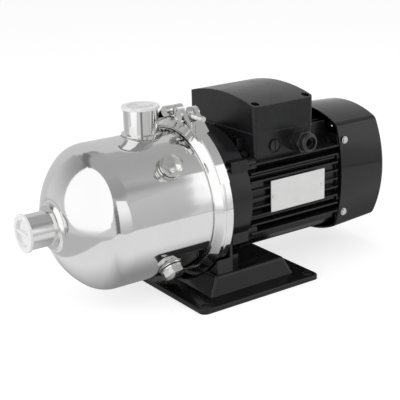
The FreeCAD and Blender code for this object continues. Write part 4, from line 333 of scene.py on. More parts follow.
@dataclass(frozen=True)
class Finish:
    """Surface finish that a material is built from. Depths and radii are in millimetres.

    Patches, grains and lines are counts per metre.
    """

    colour: Colour
    roughness: float
    metallic: float = 0.0
    patch_colour: Colour | None = None
    patches: float = 14.0
    rough_spread: float = 0.06
    grains: float = 900.0
    grain_depth: float = 0.01
    lines: float = 0.0
    line_depth: float = 0.0
    edge_radius: float = 0.4
    # Colour painted over the edges: a painted highlight, lighter than the black finishes; darker on the
    # silver plate.
    painted_edge_colour: Colour | None = None
    dust: float = 0.0
    coat: float = 0.0
    coat_roughness: float = 0.08
    specular: float = 0.5
    patch_shade: float = 0.88
    # Share of the painted edge colour that a full edge gets.
    painted_edge_share: float = 0.6
    dust_colour: Colour = (0.42, 0.41, 0.39)

    def material(self, label: str) -> bpy.types.Material:
        """Builds the material.

        Args:
            label: The material's name.

        Returns:
            The material, with its nodes.
        """
        material, graph = new_material(label)
        shader = graph.tree.nodes["Principled BSDF"]
        shader.inputs["Metallic"].default_value = self.metallic
        shader.inputs["Coat Weight"].default_value = self.coat
        shader.inputs["Coat Roughness"].default_value = self.coat_roughness
        shader.inputs["Specular IOR Level"].default_value = self.specular
        edges = SOFT_EDGES.place(graph, {"Radius": self.edge_radius * MM})
        grain = SURFACE_GRAIN.place(graph, {"Grains": self.grains, "Patches": self.patches})
        graph.tree.links.new(self.shade(graph, grain, edges), shader.inputs["Base Color"])
        low = self.roughness - self.rough_spread
        high = self.roughness + self.rough_spread
        rough = graph.spread(grain.outputs["Patch"], 0.0, 1.0, low, high)
        graph.tree.links.new(rough, shader.inputs["Roughness"])
        graph.tree.links.new(self.relief(graph, grain, edges), shader.inputs["Normal"])
        return material

    def shade(self, graph: Graph, grain: bpy.types.Node, edges: bpy.types.Node) -> bpy.types.NodeSocket:
        """Colours the surface: base, patches, painted edge highlights and dust.

        Args:
            graph: The material's nodes.
            grain: The placed grain effect.
            edges: The placed edge effect.

        Returns:
            The surface's colour.
        """
        patch = self.patch_colour or tuple(self.patch_shade * part for part in self.colour)
        colour = graph.blend(grain.outputs["Patch"], opaque(self.colour), opaque(patch))
        # Painted highlight: the edges take a lighter colour on the black finishes, and a darker one on the
        # silver plate.
        if self.painted_edge_colour:
            painted_edge_mask = graph.math("MULTIPLY", edges.outputs["Edge"], self.painted_edge_share)
            colour = graph.blend(painted_edge_mask, colour, opaque(self.painted_edge_colour))
        if self.dust:
            mask = SETTLED_DUST.place(graph, {"Cover": self.dust}).outputs["Mask"]
            colour = graph.blend(mask, colour, opaque(self.dust_colour))
        return colour

    def relief(self, graph: Graph, grain: bpy.types.Node, edges: bpy.types.Node) -> bpy.types.NodeSocket:
        """Lays the grain's and the lines' relief over the rounded edges.

        Args:
            graph: The material's nodes.
            grain: The placed grain effect.
            edges: The placed edge effect.

        Returns:
            The surface's normal.
        """
        bump = graph.add("Bump", {"Height": grain.outputs["Height"], "Distance": self.grain_depth * MM,
                                  "Normal": edges.outputs["Normal"]})
        if not self.lines:
            return bump.outputs[0]
        lines = TURNED_LINES.place(graph, {"Lines": self.lines})
        fine = graph.add("Bump", {"Height": lines.outputs["Height"], "Distance": self.line_depth * MM,
                                  "Normal": bump.outputs[0]})
        return fine.outputs[0]


class Look(Enum):
    """The finishes of the pump."""

    POLISHED_STEEL = Finish(
        colour=(0.80, 0.80, 0.798), roughness=0.075, metallic=1.0, patch_colour=(0.76, 0.76, 0.757),
        patches=9.0, rough_spread=0.02, grains=45.0, grain_depth=0.03, lines=1500.0, line_depth=0.0008,
        edge_radius=0.3)
    SATIN_STEEL = Finish(
        colour=(0.62, 0.62, 0.61), roughness=0.3, metallic=1.0, grain_depth=0.004, lines=2200.0,
        line_depth=0.004)
    WELD = Finish(
        colour=(0.52, 0.51, 0.50), roughness=0.3, metallic=1.0, patch_colour=(0.38, 0.35, 0.32),
        patches=60.0, rough_spread=0.1, grains=2600.0, grain_depth=0.03)
    GLOSS_PAINT = Finish(
        colour=(0.007, 0.0073, 0.008), roughness=0.15, patch_colour=(0.009, 0.0094, 0.0105),
        grains=1100.0, grain_depth=0.005, edge_radius=0.9, painted_edge_colour=(0.075, 0.077, 0.08), dust=0.004,
        coat=0.1, specular=0.36)
    CAST_PAINT = Finish(
        colour=(0.008, 0.0084, 0.0095), roughness=0.23, patch_colour=(0.011, 0.0114, 0.0128),
        grains=620.0, grain_depth=0.022, edge_radius=0.9, painted_edge_colour=(0.055, 0.057, 0.06), dust=0.006,
        coat=0.05, specular=0.36)
    BOX_PAINT = Finish(
        colour=(0.010, 0.0104, 0.0115), roughness=0.27, patch_colour=(0.013, 0.0134, 0.0146),
        grains=1500.0, grain_depth=0.012, edge_radius=1.0, painted_edge_colour=(0.075, 0.077, 0.082), dust=0.006,
        coat=0.05, specular=0.36)
    ZINC = Finish(
        colour=(0.80, 0.80, 0.79), roughness=0.16, metallic=1.0, patch_colour=(0.68, 0.68, 0.665),
        patches=90.0, rough_spread=0.05, grains=700.0, grain_depth=0.008, edge_radius=0.25)
    BLACKENED = Finish(
        colour=(0.03, 0.03, 0.03), roughness=0.35, metallic=0.6, grains=1200.0, grain_depth=0.01)
    GROUND_STEEL = Finish(
        colour=(0.6, 0.6, 0.6), roughness=0.12, metallic=1.0, grain_depth=0.002, lines=3000.0,
        line_depth=0.001)
    CORE_STEEL = Finish(
        colour=(0.22, 0.22, 0.23), roughness=0.42, metallic=1.0, patch_colour=(0.15, 0.14, 0.13),
        patches=40.0, rough_spread=0.1, lines=2000.0, line_depth=0.06)
    WINDING = Finish(
        colour=(0.42, 0.15, 0.05), roughness=0.3, metallic=0.3, patch_colour=(0.3, 0.09, 0.03),
        patches=60.0, rough_spread=0.1, grains=500.0, grain_depth=0.4, coat=0.5)
    BRASS = Finish(
        colour=(0.72, 0.53, 0.24), roughness=0.24, metallic=1.0, patch_colour=(0.6, 0.42, 0.18),
        patches=80.0, grains=900.0, grain_depth=0.008)
    RUBBER = Finish(colour=(0.018, 0.018, 0.018), roughness=0.62, grains=1500.0, grain_depth=0.02)
    CERAMIC = Finish(colour=(0.8, 0.78, 0.72), roughness=0.16, patches=30.0, grain_depth=0.002)
    SILVER_PLATE = Finish(
        colour=(0.88, 0.88, 0.875), roughness=0.36, metallic=0.3, patch_colour=(0.83, 0.83, 0.825),
        patches=30.0, rough_spread=0.04, grains=3500.0, grain_depth=0.005, edge_radius=0.2,
        painted_edge_colour=(0.5, 0.5, 0.5))
    MOULDED_BLACK = Finish(
        colour=(0.012, 0.012, 0.013), roughness=0.28, patch_colour=(0.017, 0.017, 0.018), grains=1800.0,
        grain_depth=0.012, edge_radius=0.5, painted_edge_colour=(0.05, 0.05, 0.052), coat=0.1)
    CAP_PLASTIC = Finish(
        colour=(0.90, 0.905, 0.90), roughness=0.32, patch_colour=(0.86, 0.865, 0.86), patches=40.0,
        grains=1600.0, grain_depth=0.008, edge_radius=0.5)

    def material(self) -> bpy.types.Material:
        """Gives the finish's material, built on first use."""
        label = self.name.lower()
        return bpy.data.materials.get(label) or self.value.material(label)


SLOT_LOOKS = {
    "polished_stainless": Look.POLISHED_STEEL,
    "brushed_stainless": Look.SATIN_STEEL,
    "black_paint": Look.GLOSS_PAINT,
    "zinc_steel": Look.ZINC,
    "blackened_steel": Look.BLACKENED,
    "bearing_steel": Look.GROUND_STEEL,
    "electrical_steel": Look.CORE_STEEL,
    "copper_enamel": Look.WINDING,
    "brass": Look.BRASS,
    "rubber": Look.RUBBER,
    "ceramic": Look.CERAMIC,
    "plate_silver": Look.SILVER_PLATE,
    "moulding_black": Look.MOULDED_BLACK,
    "cap_white": Look.CAP_PLASTIC,
}
NODE_LOOKS = {
    "motor_bracket": Look.CAST_PAINT,
    "motor_frame": Look.CAST_PAINT,
    "rear_shield": Look.CAST_PAINT,
    "terminal_box": Look.BOX_PAINT,
    "terminal_lid": Look.BOX_PAINT,
}


def dress_nodes(frame: dict) -> None:
    """Gives each node of the frame its finish.
    """
    for part in frame["record"]["subparts"]:
        node = frame["nodes"][part["node"]]
        look = NODE_LOOKS.get(part["node"]) or SLOT_LOOKS[part["material_slot"]]
        node.data.materials.clear()
        node.data.materials.append(look.material())
        LOG.info("dressed %s in %s", part["node"], look.name.lower())


def piece_from(label: str, points: list[Vector], faces: list[tuple[int, ...]],
               look: Look) -> bpy.types.Object:
    """Makes an object from a list of points and faces.

    Args:
        label: The object's name.
        points: Its points, in the row frame.
        faces: Numbers of each face's points.
        look: Its finish.

    Returns:
        The object, smooth shaded.
    """
    mesh = bpy.data.meshes.new(label)
    mesh.from_pydata(points, [], faces)
    mesh.validate()
    mesh.shade_smooth()
    mesh.set_sharp_from_angle(angle=math.radians(SHARP_FROM))
    mesh.materials.append(look.material())
    piece = bpy.data.objects.new(label, mesh)
    bpy.context.scene.collection.objects.link(piece)
    return piece


def on_ring(number: int, count: int) -> float:
    """Angle of one of the points that share a full turn, in radians."""
    return 2 * math.pi * number / count


def ring_faces(start: int, rows: int, count: int, closed: bool = False) -> list[tuple[int, ...]]:
    """Quads between neighbouring rows of points that run round in rings.

    Args:
        start: Number of the first point.
        rows: How many rows there are.
        count: Points in a row.
        closed: True if the last row joins the first.

    Returns:
        The faces.
    """
    faces = []
    for row in range(rows if closed else rows - 1):
        below = start + row * count
        above = start + (row + 1) % rows * count
        for k in range(count):
            after = (k + 1) % count
            faces.append((below + k, below + after, above + after, above + k))
    return faces


def frame_along(axis: Vector) -> Matrix:
    """Rotation that turns Z to an axis."""
    return axis.to_track_quat("Z", "X").to_matrix()


@dataclass
class ScrewHead:
    """Pan head of a screw with a cross recess and a washer under it, in millimetres."""

    radius: float
    height: float
    washer_radius: float = 0.0
    washer_height: float = 0.6
    recess: float = 0.0
    recess_width: float = 1.3
    recess_reach: float = 0.58
    recess_wall: float = 1.5
    recess_ends: float = 4.0
    roundness: float = 0.45
    edge_drop: float = 0.53
    edge_power: int = 12
    rings: int = 14
    segments: int = 64

    def crown(self, share: float, turn: float) -> float:
        """Height of the head's top.

        Args:
            share: Distance from the head's axis as a share of its radius.
            turn: Angle round the axis, in radians.

        Returns:
            The height above the seat.
        """
        fall = self.roundness * share ** 2 + self.edge_drop * share ** self.edge_power
        top = self.height * math.sqrt(1 - fall)
        across = min(abs(math.cos(turn)), abs(math.sin(turn))) * share * self.radius
        wall = min(1.0, max(0.0, self.recess_wall - 2 * across / self.recess_width))
        end = min(1.0, max(0.0, self.recess_ends * (self.recess_reach - share) / self.recess_reach))
        return top - self.recess * wall * end

    def add_to(self, points: list[Vector], faces: list[tuple[int, ...]], seat: Vector,
               axis: Vector) -> None:
        """Adds the head to a growing mesh.

        Args:
            points: The mesh's points.
            faces: The mesh's faces.
            seat: Middle of the face that the head sits on.
            axis: Direction from the seat to the head's top.
        """
        turn_to = frame_along(axis)
        start = len(points)
        profile = [(self.radius, 0.0)]
        if self.washer_radius:
            profile = [(self.washer_radius, 0.0), (self.washer_radius, self.washer_height),
                       (self.radius, self.washer_height)]
        rows = [[(r, h) for _ in range(self.segments)] for r, h in profile]
        base = profile[-1][1]
        for ring in range(self.rings, 0, -1):
            share = ring / self.rings
            row = [(share * self.radius, base + self.crown(share, on_ring(k, self.segments)))
                   for k in range(self.segments)]
            rows.append(row)
        for row in rows:
            for k, (r, h) in enumerate(row):
                turn = on_ring(k, self.segments)
                points.append(seat + turn_to @ Vector((r * math.cos(turn), r * math.sin(turn), h)) * MM)
        faces += ring_faces(start, len(rows), self.segments)
        points.append(seat + turn_to @ Vector((0, 0, base + self.crown(0.0, 0.0))) * MM)
        last = start + (len(rows) - 1) * self.segments
        faces += [(last + k, last + (k + 1) % self.segments, len(points) - 1) for k in range(self.segments)]


@dataclass
class ScrewSet:
    """Screws of one node, each drawn as a dressed head in place of the node's plain one."""

    node: str
    body: str
    slot: str
    look: Look
    head: ScrewHead
    seats: list[tuple[Vector, Vector]]

    def build(self) -> None:
        """Makes the heads as one piece that stands for the node."""
        points: list[Vector] = []
        faces: list[tuple[int, ...]] = []
        for seat, axis in self.seats:
            self.head.add_to(points, faces, seat, axis)
        piece = piece_from(self.node + "_heads", points, faces, self.look)
        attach(piece, self.body)
        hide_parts(self.node)
        LOG.info("made %d heads for %s", len(self.seats), self.node)


@dataclass
class FanCoverScrews:
    """Four pan head screws in the side walls of the fan cover, in millimetres."""

    head_radius: float = 4.6
    head_depth: float = 3.2
    crown_radius: float = 3.68
    crown_height: float = 2.5

    def build(self) -> None:
        """Places the heads where the frame has them."""
        low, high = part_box("cover_screws")
        middle = (low.x + high.x) / 2
        seats = []
        for z in (low.z + self.head_radius * MM, high.z - self.head_radius * MM):
            seats.append((Vector((middle, low.y + self.head_depth * MM, z)), Vector((0, -1, 0))))
            seats.append((Vector((middle, high.y - self.head_depth * MM, z)), Vector((0, 1, 0))))
        head = ScrewHead(self.crown_radius, self.crown_height, self.head_radius, recess=1.5)
        ScrewSet("cover_screws", "pump_and_motor", "zinc_steel", Look.ZINC, head, seats).build()


@dataclass
class LidScrews:
    """Four screws deep in the corner columns of the terminal box lid, in millimetres."""

    head_radius: float = 3.6
    head_depth: float = 3.0

    def build(self) -> None:
        """Places the heads where the frame has them."""
        low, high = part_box("lid_screws")
        inset = self.head_radius * MM
        seat_z = high.z - self.head_depth * MM
        seats = [(Vector((x, y, seat_z)), Vector((0, 0, 1)))
                 for x in (low.x + inset, high.x - inset) for y in (low.y + inset, high.y - inset)]
        head = ScrewHead(self.head_radius, self.head_depth, recess=1.4, recess_width=1.1)
        ScrewSet("lid_screws", "terminal_lid", "blackened_steel", Look.BLACKENED, head, seats).build()


@dataclass
class PlateRivets:
    """Two round rivets at the ends of the bare nameplate, in millimetres."""

    head_radius: float = 2.4
    head_depth: float = 1.0

    def build(self) -> None:
        """Places the heads where the frame has them."""
        low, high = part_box("nameplate_rivets")
        inset = self.head_radius * MM
        seat_y = low.y + self.head_depth * MM
        height = (low.z + high.z) / 2
        seats = [(Vector((x, seat_y, height)), Vector((0, -1, 0))) for x in (low.x + inset, high.x - inset)]
        head = ScrewHead(self.head_radius, self.head_depth, rings=8, segments=32)
        ScrewSet("nameplate_rivets", "pump_and_motor", "zinc_steel", Look.ZINC, head, seats).build()


@dataclass
class WeldBead:
    """Rippled bead round a stub or boss that stands on the barrel, in millimetres."""

    label: str
    place_x: float
    # Degrees from upright, round the shaft line.
    lean: float
    ring_radius: float
    barrel_radius: float = 85.0
    bead_radius: float = 0.8
    steps: int = 180
    sides: int = 8
    ripple: float = 0.22
    ripples: int = 45
    swells: int = 7
    swell_start: float = 1.0

    def centre(self, turn: float) -> Vector:
        """Point of the bead's line on the barrel, before the lean.

        Args:
            turn: Angle round the stub's axis, in radians.

        Returns:
            The point, from the shaft line, in millimetres.
        """
        y = self.ring_radius * math.sin(turn)
        return Vector((self.place_x + self.ring_radius * math.cos(turn), y,
                       math.sqrt(self.barrel_radius ** 2 - y ** 2)))

    def build(self) -> None:
        """Sweeps the bead's section along its line."""
        lean = Matrix.Rotation(math.radians(self.lean), 3, "X")
        points = []
        for k in range(self.steps):
            turn = on_ring(k, self.steps)
            middle = self.centre(turn)
            out = Vector((math.cos(turn), math.sin(turn), 0))
            wave = math.sin(turn * self.ripples) * math.sin(turn * self.swells + self.swell_start)
            swell = self.bead_radius * (1 + self.ripple * wave)
            for side in range(self.sides):
                bend = on_ring(side, self.sides)
                spot = middle + out * swell * math.cos(bend) + Vector((0, 0, swell * math.sin(bend)))
                points.append(lean @ spot * MM + Vector((0, 0, SHAFT_HEIGHT)))
        piece = piece_from(self.label, points, ring_faces(0, self.steps, self.sides, True), Look.WELD)
        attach(piece, "pump_and_motor")
        LOG.info("made %s", self.label)


WELDS = (
    WeldBead("discharge_weld", place_x=-90.0, lean=0.0, ring_radius=23.6),
    WeldBead("priming_weld", place_x=-95.7, lean=47.2, ring_radius=13.8),
    WeldBead("drain_weld", place_x=-98.3, lean=131.5, ring_radius=13.8),
)


@dataclass
class FanRim:
    """Rim moulded round the tips of the cooling fan's blades, in millimetres."""

    reach: float = 55.0
    lip: float = 58.5
    blade_tip: float = 54.1
    disc_edge: float = 50.6
    sheet: float = 1.2
    width: float = 17.0
    inset: float = 2.0
    segments: int = 120

    def build(self) -> None:
        """Turns the rim's section round the shaft line, on the fan that the frame has."""
        low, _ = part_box("cooling_fan")
        turned_out = self.width - self.sheet
        outside = ((0.0, self.reach), (turned_out, self.reach), (turned_out, self.lip),
                   (self.width, self.lip))
        inside = ((self.width, self.blade_tip), (self.sheet, self.blade_tip),
                  (self.sheet, self.disc_edge), (0.0, self.disc_edge))
        section = outside + inside
        points = []
        for along, radius in section:
            x = low.x + (self.inset + along) * MM
            for k in range(self.segments):
                turn = on_ring(k, self.segments)
                y = radius * math.cos(turn) * MM
                points.append(Vector((x, y, SHAFT_HEIGHT + radius * math.sin(turn) * MM)))
        faces = ring_faces(0, len(section), self.segments, True)
        piece = piece_from("fan_rim", points, faces, Look.MOULDED_BLACK)
        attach(piece, "rotor")
        LOG.info("made fan_rim")


@dataclass
class BoltThread:
    """Rolled thread on the free end of the clamp's T-bolt, in millimetres."""

    root: float = 3.01
    depth: float = 0.3
    pitch: float = 1.0
    length: float = 22.0
    segments: int = 40
    rows_per_turn: int = 8

    def build(self) -> None:
        """Makes the thread on the bolt that the frame has."""
        low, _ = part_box("clamp_t_bolt")
        nut_low, nut_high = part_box("clamp_nut")
        axis_x = (nut_low.x + nut_high.x) / 2
        axis_z = (nut_low.z + nut_high.z) / 2
        rows = int(self.length / self.pitch * self.rows_per_turn)
        points = []
        for row in range(rows + 1):
            along = self.length * row / rows
            fade = min(1.0, along / self.pitch, (self.length - along) / self.pitch)
            for k in range(self.segments):
                turn = on_ring(k, self.segments)
                phase = (along / self.pitch - k / self.segments) % 1.0
                r = (self.root + self.depth * fade * (1 - abs(2 * phase - 1))) * MM
                x = axis_x + r * math.cos(turn)
                points.append(Vector((x, low.y + along * MM, axis_z + r * math.sin(turn))))
        piece = piece_from("clamp_bolt_thread", points, ring_faces(0, rows + 1, self.segments), Look.ZINC)
        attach(piece, "clamp_t_bolt")
        LOG.info("made clamp_bolt_thread")


@dataclass
class Camera:
    """Camera at the photograph's angle; lengths are in metres."""

    place: Point = (-0.66323, -0.95120, 0.47762)
    aim: Point = (-0.01183, -0.00026, 0.09340)
    roll: float = -1.739
    lens: float = 89.82
    sensor: float = 36.0
    nearest: float = 0.05

    def build(self) -> None:
        """Creates the camera and makes it the scene's own."""
        data = bpy.data.cameras.new("photo_camera")
        data.lens = self.lens
        data.sensor_width = self.sensor
        data.clip_start = self.nearest
        camera = bpy.data.objects.new("photo_camera", data)
        camera.location = self.place
        look = (Vector(self.aim) - Vector(self.place)).to_track_quat("-Z", "Y")
        camera.rotation_mode = "QUATERNION"
        camera.rotation_quaternion = look @ Quaternion((0, 0, 1), math.radians(self.roll))
        bpy.context.scene.collection.objects.link(camera)
        bpy.context.scene.camera = camera
        LOG.info("placed the camera")


class LightShape(Enum):
    """Outlines of an area light, by Blender's names."""

    RECTANGLE = "RECTANGLE"
    DISK = "DISK"


@dataclass
class Softbox:
    """Area light that looks at a point; lengths are in metres."""

    label: str
    place: Point
    aim: Point
    width: float
    height: float
    power: float
    shape: LightShape = LightShape.RECTANGLE

    def build(self) -> None:
        """Creates the light."""
        data = bpy.data.lights.new(self.label, "AREA")
        data.shape = self.shape.value
        data.size = self.width
        data.size_y = self.height
        data.energy = self.power
        light = bpy.data.objects.new(self.label, data)
        light.visible_glossy = False
        light.location = self.place
        light.rotation_mode = "QUATERNION"
        light.rotation_quaternion = (Vector(self.aim) - Vector(self.place)).to_track_quat("-Z", "Y")
        bpy.context.scene.collection.objects.link(light)
        LOG.info("placed %s", self.label)


PUMP_MIDDLE = (-0.05, 0.0, 0.1)
LIGHTS = (
    Softbox("left_octagon", place=(-1.28, -0.16, 0.64), aim=(-0.19, -0.05, 0.145), width=1.45, height=1.45,
            power=7.5, shape=LightShape.DISK),
    Softbox("front_strip", place=(0.70, -0.95, 0.92), aim=PUMP_MIDDLE, width=0.35, height=0.6, power=2.2),
    Softbox("overhead", place=(0.2, 0.25, 1.7), aim=PUMP_MIDDLE, width=1.1, height=0.8, power=5.0),
)


@dataclass(frozen=True)
class Panel:
    """Patch of the studio that shows in polished metal, in degrees round the pump and above the horizon."""

    turn: Span
    rise: Span
    foot_glow: float
    head_glow: float
    softness: float

    def edge(self, graph: Graph, angle: Feed, span: Span) -> bpy.types.NodeSocket:
        """Marks the directions between two angles.

        Args:
            graph: The sky's nodes.
            angle: The direction's angle.
            span: The two angles.

        Returns:
            A mask that is 1 between them.
        """
        soft = self.softness
        after = graph.spread(angle, span[0] - soft, span[0] + soft)
        before = graph.spread(angle, span[1] + soft, span[1] - soft)
        return graph.math("MULTIPLY", after, before)

    def lay(self, graph: Graph, turn: Feed, rise: Feed, under: Feed) -> bpy.types.NodeSocket:
        """Lays the panel over what is already in the sky.

        Args:
            graph: The sky's nodes.
            turn: The direction's angle round the pump.
            rise: The direction's angle above the horizon.
            under: Brightness so far.

        Returns:
            Brightness with the panel.
        """
        mask = graph.math("MULTIPLY", self.edge(graph, turn, self.turn), self.edge(graph, rise, self.rise))
        glow = graph.spread(rise, *self.rise, self.foot_glow, self.head_glow)
        feeds = {MIX_SHARE: mask, MIX_VALUES[0]: under, MIX_VALUES[1]: glow}
        return graph.add("Mix", feeds).outputs[MIX_VALUE]


PANELS = (
    Panel(turn=(14.0, 104.0), rise=(-40.0, 48.5), foot_glow=0.66, head_glow=0.66, softness=1.0),
    Panel(turn=(60.0, 104.0), rise=(49.5, 62.0), foot_glow=0.34, head_glow=0.42, softness=3.0),
    Panel(turn=(104.0, 150.0), rise=(-4.0, 46.0), foot_glow=0.76, head_glow=0.36, softness=4.0),
    Panel(turn=(92.0, 148.0), rise=(45.0, 60.0), foot_glow=0.20, head_glow=0.20, softness=4.0),
    Panel(turn=(146.0, 250.0), rise=(-18.0, 40.0), foot_glow=0.74, head_glow=0.62, softness=3.0),
    Panel(turn=(214.0, 312.0), rise=(36.0, 66.0), foot_glow=0.36, head_glow=0.40, softness=6.0),
    Panel(turn=(236.0, 254.0), rise=(-40.0, 16.0), foot_glow=0.14, head_glow=0.22, softness=4.0),
    Panel(turn=(236.0, 250.0), rise=(14.0, 34.0), foot_glow=0.24, head_glow=0.50, softness=3.0),
    Panel(turn=(252.0, 306.0), rise=(-60.0, -10.0), foot_glow=0.52, head_glow=0.52, softness=3.0),
    Panel(turn=(306.0, 336.0), rise=(-60.0, 4.0), foot_glow=0.14, head_glow=0.14, softness=3.0),
)


def flat_piece(label: str, outline: tuple[Point, ...], material: bpy.types.Material) -> bpy.types.Object:
    """Makes an object with one flat face.

    Args:
        label: The object's name.
        outline: The face's corners.
        material: Its material.

    Returns:
        The object.
    """
    mesh = bpy.data.meshes.new(label)
    mesh.from_pydata(outline, [], [tuple(range(len(outline)))])
    mesh.materials.append(material)
    piece = bpy.data.objects.new(label, mesh)
    bpy.context.scene.collection.objects.link(piece)
    return piece


@dataclass
class Card:
    """Glowing card that only polished metal shows, with its glow at two heights, in metres."""

    label: str
    outline: tuple[Point, ...]
    levels: Span
    glows: Span

    def build(self) -> None:
        """Creates the card."""
        material, graph = new_material(self.label)
        height = graph.add("SeparateXYZ", {0: graph.add("NewGeometry").outputs["Position"]}).outputs["Z"]
        glow = graph.spread(height, *self.levels, *self.glows)
        graph.finish(graph.add("Emission", {"Color": WHITE, "Strength": glow}))
        card = flat_piece(self.label, self.outline, material)
        card.visible_camera = False
        card.visible_diffuse = False
        card.visible_shadow = False
        LOG.info("placed %s", self.label)


@dataclass
class RoundSoftbox:
    """Round card that the steel dome shows as a softbox, in metres, and in degrees seen from the dome."""

    seen_from: Point = (-0.19, -0.05, 0.14)
    turn: float = 190.0
    rise: float = 26.0
    spread: float = 43.5
    distance: float = 0.8
    corners: int = 40
    levels: Span = (-0.19, -0.02)
    glows: Span = (0.80, 1.25)

    def build(self) -> None:
        """Lays a round card square to its direction."""
        turn = math.radians(self.turn)
        rise = math.radians(self.rise)
        flat = math.cos(rise)
        toward = Vector((flat * math.cos(turn), flat * math.sin(turn), math.sin(rise)))
        across = Vector((-math.sin(turn), math.cos(turn), 0.0))
        up = toward.cross(across)
        middle = Vector(self.seen_from) + toward * self.distance
        radius = self.distance * math.tan(math.radians(self.spread))
        outline = []
        for number in range(self.corners):
            angle = on_ring(number, self.corners)
            outline.append(tuple(middle + (across * math.cos(angle) + up * math.sin(angle)) * radius))
        Card("round_softbox", tuple(outline), self.levels, self.glows).build()


FRONT_Y = -0.95


def board(label: str, outline: tuple[Span, ...], levels: Span, glows: Span) -> Card:
    """Card that stands upright in front of the pump.

    Args:
        label: The card's name.
        outline: Its corners, as places along the shaft and heights.
        levels: The two heights where its glow is given.
        glows: Its glow there.

    Returns:
        The card.
    """
    return Card(label, tuple((x, FRONT_Y, z) for x, z in outline), levels, glows)


WHITE_BOARD = board(
    "white_board", ((-0.49, -0.3), (0.20, -0.3), (0.20, 0.68), (-0.48, 0.78)),
    levels=(-0.1, 0.5), glows=(0.58, 1.1))
GREY_BOARD = board(
    "grey_board", ((0.20, -0.3), (0.445, -0.3), (0.48, 0.12), (0.62, 0.86), (0.39, 0.61), (0.20, 0.42)),
    levels=(-0.1, 0.8), glows=(0.55, 0.62))
SIDE_BOARD = board(
    "side_board", ((0.445, -0.1), (2.5, -0.1), (2.5, 1.3), (0.78, 1.2), (0.564, 0.68), (0.486, 0.377)),
    levels=(0.0, 0.35), glows=(0.72, 1.25))


@dataclass(frozen=True)
class SheetSide:
    """Side of the white sheet, which lies where a place's reach along a direction is past a limit."""

    toward_x: float
    toward_y: float
    limit: float


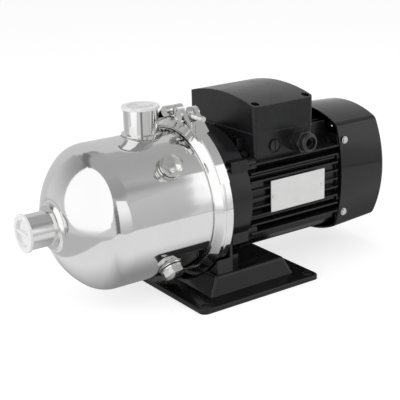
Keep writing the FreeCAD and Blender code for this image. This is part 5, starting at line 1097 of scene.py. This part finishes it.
@dataclass
class Studio:
    """White studio: sky, floor and soft lights; lengths are in metres."""

    floor_size: float = 12.0
    floor_level: float = -0.0004
    floor_colour: Colour = (0.9, 0.9, 0.9)
    floor_glow: float = 0.72
    floor_shade: float = 0.47
    floor_roughness: float = 0.9
    left_side: SheetSide = SheetSide(toward_x=1.0, toward_y=0.0, limit=-0.40)
    slant_side: SheetSide = SheetSide(toward_x=0.845, toward_y=-0.535, limit=-0.250)
    near_side: SheetSide = SheetSide(toward_x=0.0, toward_y=1.0, limit=-0.51)
    sheet_edge: float = 0.008
    sheet_glow: float = 0.86
    # Painted shadow on the sheet: its glow under the pump, where the darkening starts, and how far it
    # reaches.
    painted_shadow_glow: float = 0.28
    painted_shadow_start: Span = (-0.14, 0.05)
    painted_shadow_reach: float = 0.11
    sky_light: float = 0.5
    room_rise: Span = (30.0, 64.0)
    room_glow: Span = (0.56, 0.44)

    def build(self) -> None:
        """Makes the sky, the floor and the lights."""
        self.sky()
        self.floor()
        for light in LIGHTS:
            light.build()
        RoundSoftbox().build()
        for card in (WHITE_BOARD, GREY_BOARD, SIDE_BOARD):
            card.build()

    def sky(self) -> None:
        """White to the camera, and the room with its light panels to the polished steel."""
        world = bpy.data.worlds.new("studio_sky")
        world.use_nodes = True
        bpy.context.scene.world = world
        graph = Graph(world.node_tree)
        back = graph.tree.nodes["Background"]
        ray = graph.add("SeparateXYZ", {0: graph.add("TexCoord").outputs["Generated"]})
        rise = graph.math("DEGREES", graph.math("ARCSINE", ray.outputs["Z"]))
        half_turn = graph.math("ARCTAN2", ray.outputs["Y"], ray.outputs["X"])
        turn = graph.math("WRAP", graph.math("DEGREES", half_turn), FULL_TURN)
        room = graph.spread(rise, *self.room_rise, *self.room_glow)
        for panel in PANELS:
            room = panel.lay(graph, turn, rise, room)
        path = graph.add("LightPath")
        plain = graph.blend(path.outputs["Is Camera Ray"], opaque((self.sky_light,) * 3), WHITE)
        seen = graph.math("MAXIMUM", path.outputs["Is Glossy Ray"], path.outputs["Is Transmission Ray"])
        graph.tree.links.new(graph.blend(seen, plain, room), back.inputs["Color"])
        LOG.info("made the sky")

    def sheet(self, graph: Graph) -> tuple[bpy.types.NodeSocket, bpy.types.NodeSocket]:
        """White sheet that polished metal shows on the floor, with crisp sides and a painted shadow under
        the pump.

        Args:
            graph: The floor's nodes.

        Returns:
            The sheet's mask and its brightness.
        """
        place = graph.add("NewGeometry").outputs["Position"]
        mask: Feed = 1.0
        for side in (self.left_side, self.slant_side, self.near_side):
            toward = (side.toward_x, side.toward_y, 0.0)
            reach = graph.add("VectorMath", {0: place, 1: toward}, operation="DOT_PRODUCT").outputs["Value"]
            inside = graph.spread(reach, side.limit, side.limit + self.sheet_edge)
            mask = graph.math("MULTIPLY", mask, inside)
        parts = graph.add("SeparateXYZ", {0: place})
        # Painted shadow: the sheet glows less near the pump.
        ahead = graph.math("SUBTRACT", self.painted_shadow_start[0], parts.outputs["X"])
        beside = graph.math("SUBTRACT", graph.math("ABSOLUTE", parts.outputs["Y"]), self.painted_shadow_start[1])
        away = graph.math("MAXIMUM", ahead, beside)
        glow = graph.spread(away, 0.0, self.painted_shadow_reach, self.painted_shadow_glow, self.sheet_glow)
        return mask, glow

    def floor(self) -> None:
        """Pale floor that keeps the pump's shadow and shows as a white sheet in the steel."""
        material, graph = new_material("studio_floor")
        matt = graph.tree.nodes["Principled BSDF"]
        matt.inputs["Base Color"].default_value = opaque(self.floor_colour)
        matt.inputs["Roughness"].default_value = self.floor_roughness
        path = graph.add("LightPath")
        glow = graph.add("Emission", {"Color": WHITE, "Strength": self.floor_glow})
        shade = graph.add("BsdfDiffuse", {"Color": opaque((self.floor_shade,) * 3)})
        white = graph.add("AddShader", {0: glow.outputs[0], 1: shade.outputs[0]})
        mask, brightness = self.sheet(graph)
        sheet = graph.add("Emission", {"Color": WHITE, "Strength": brightness})
        gap = graph.add("BsdfTransparent")
        metal = graph.add("MixShader", {0: mask, 1: gap.outputs[0], 2: sheet.outputs[0]})
        camera = path.outputs["Is Camera Ray"]
        lit = graph.add("MixShader", {0: camera, 1: matt.outputs[0], 2: white.outputs[0]})
        seen = graph.math("MAXIMUM", path.outputs["Is Glossy Ray"], path.outputs["Is Transmission Ray"])
        graph.finish(graph.add("MixShader", {0: seen, 1: lit.outputs[0], 2: metal.outputs[0]}))
        half = self.floor_size / 2
        square = ((-half, -half), (half, -half), (half, half), (-half, half))
        floor = flat_piece("studio_floor", tuple((x, y, self.floor_level) for x, y in square), material)
        LOG.info("made the floor")


def main() -> None:
    """Loads the frame, dresses it, adds the small pieces and sets up the studio."""
    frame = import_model()
    bpy.context.scene.view_settings.view_transform = "Standard"
    Camera().build()
    Studio().build()
    dress_nodes(frame)
    FanCoverScrews().build()
    LidScrews().build()
    PlateRivets().build()
    for weld in WELDS:
        weld.build()
    FanRim().build()
    BoltThread().build()


if __name__ == "__main__":
    logging.basicConfig(level=logging.INFO, format="%(message)s")
    main()
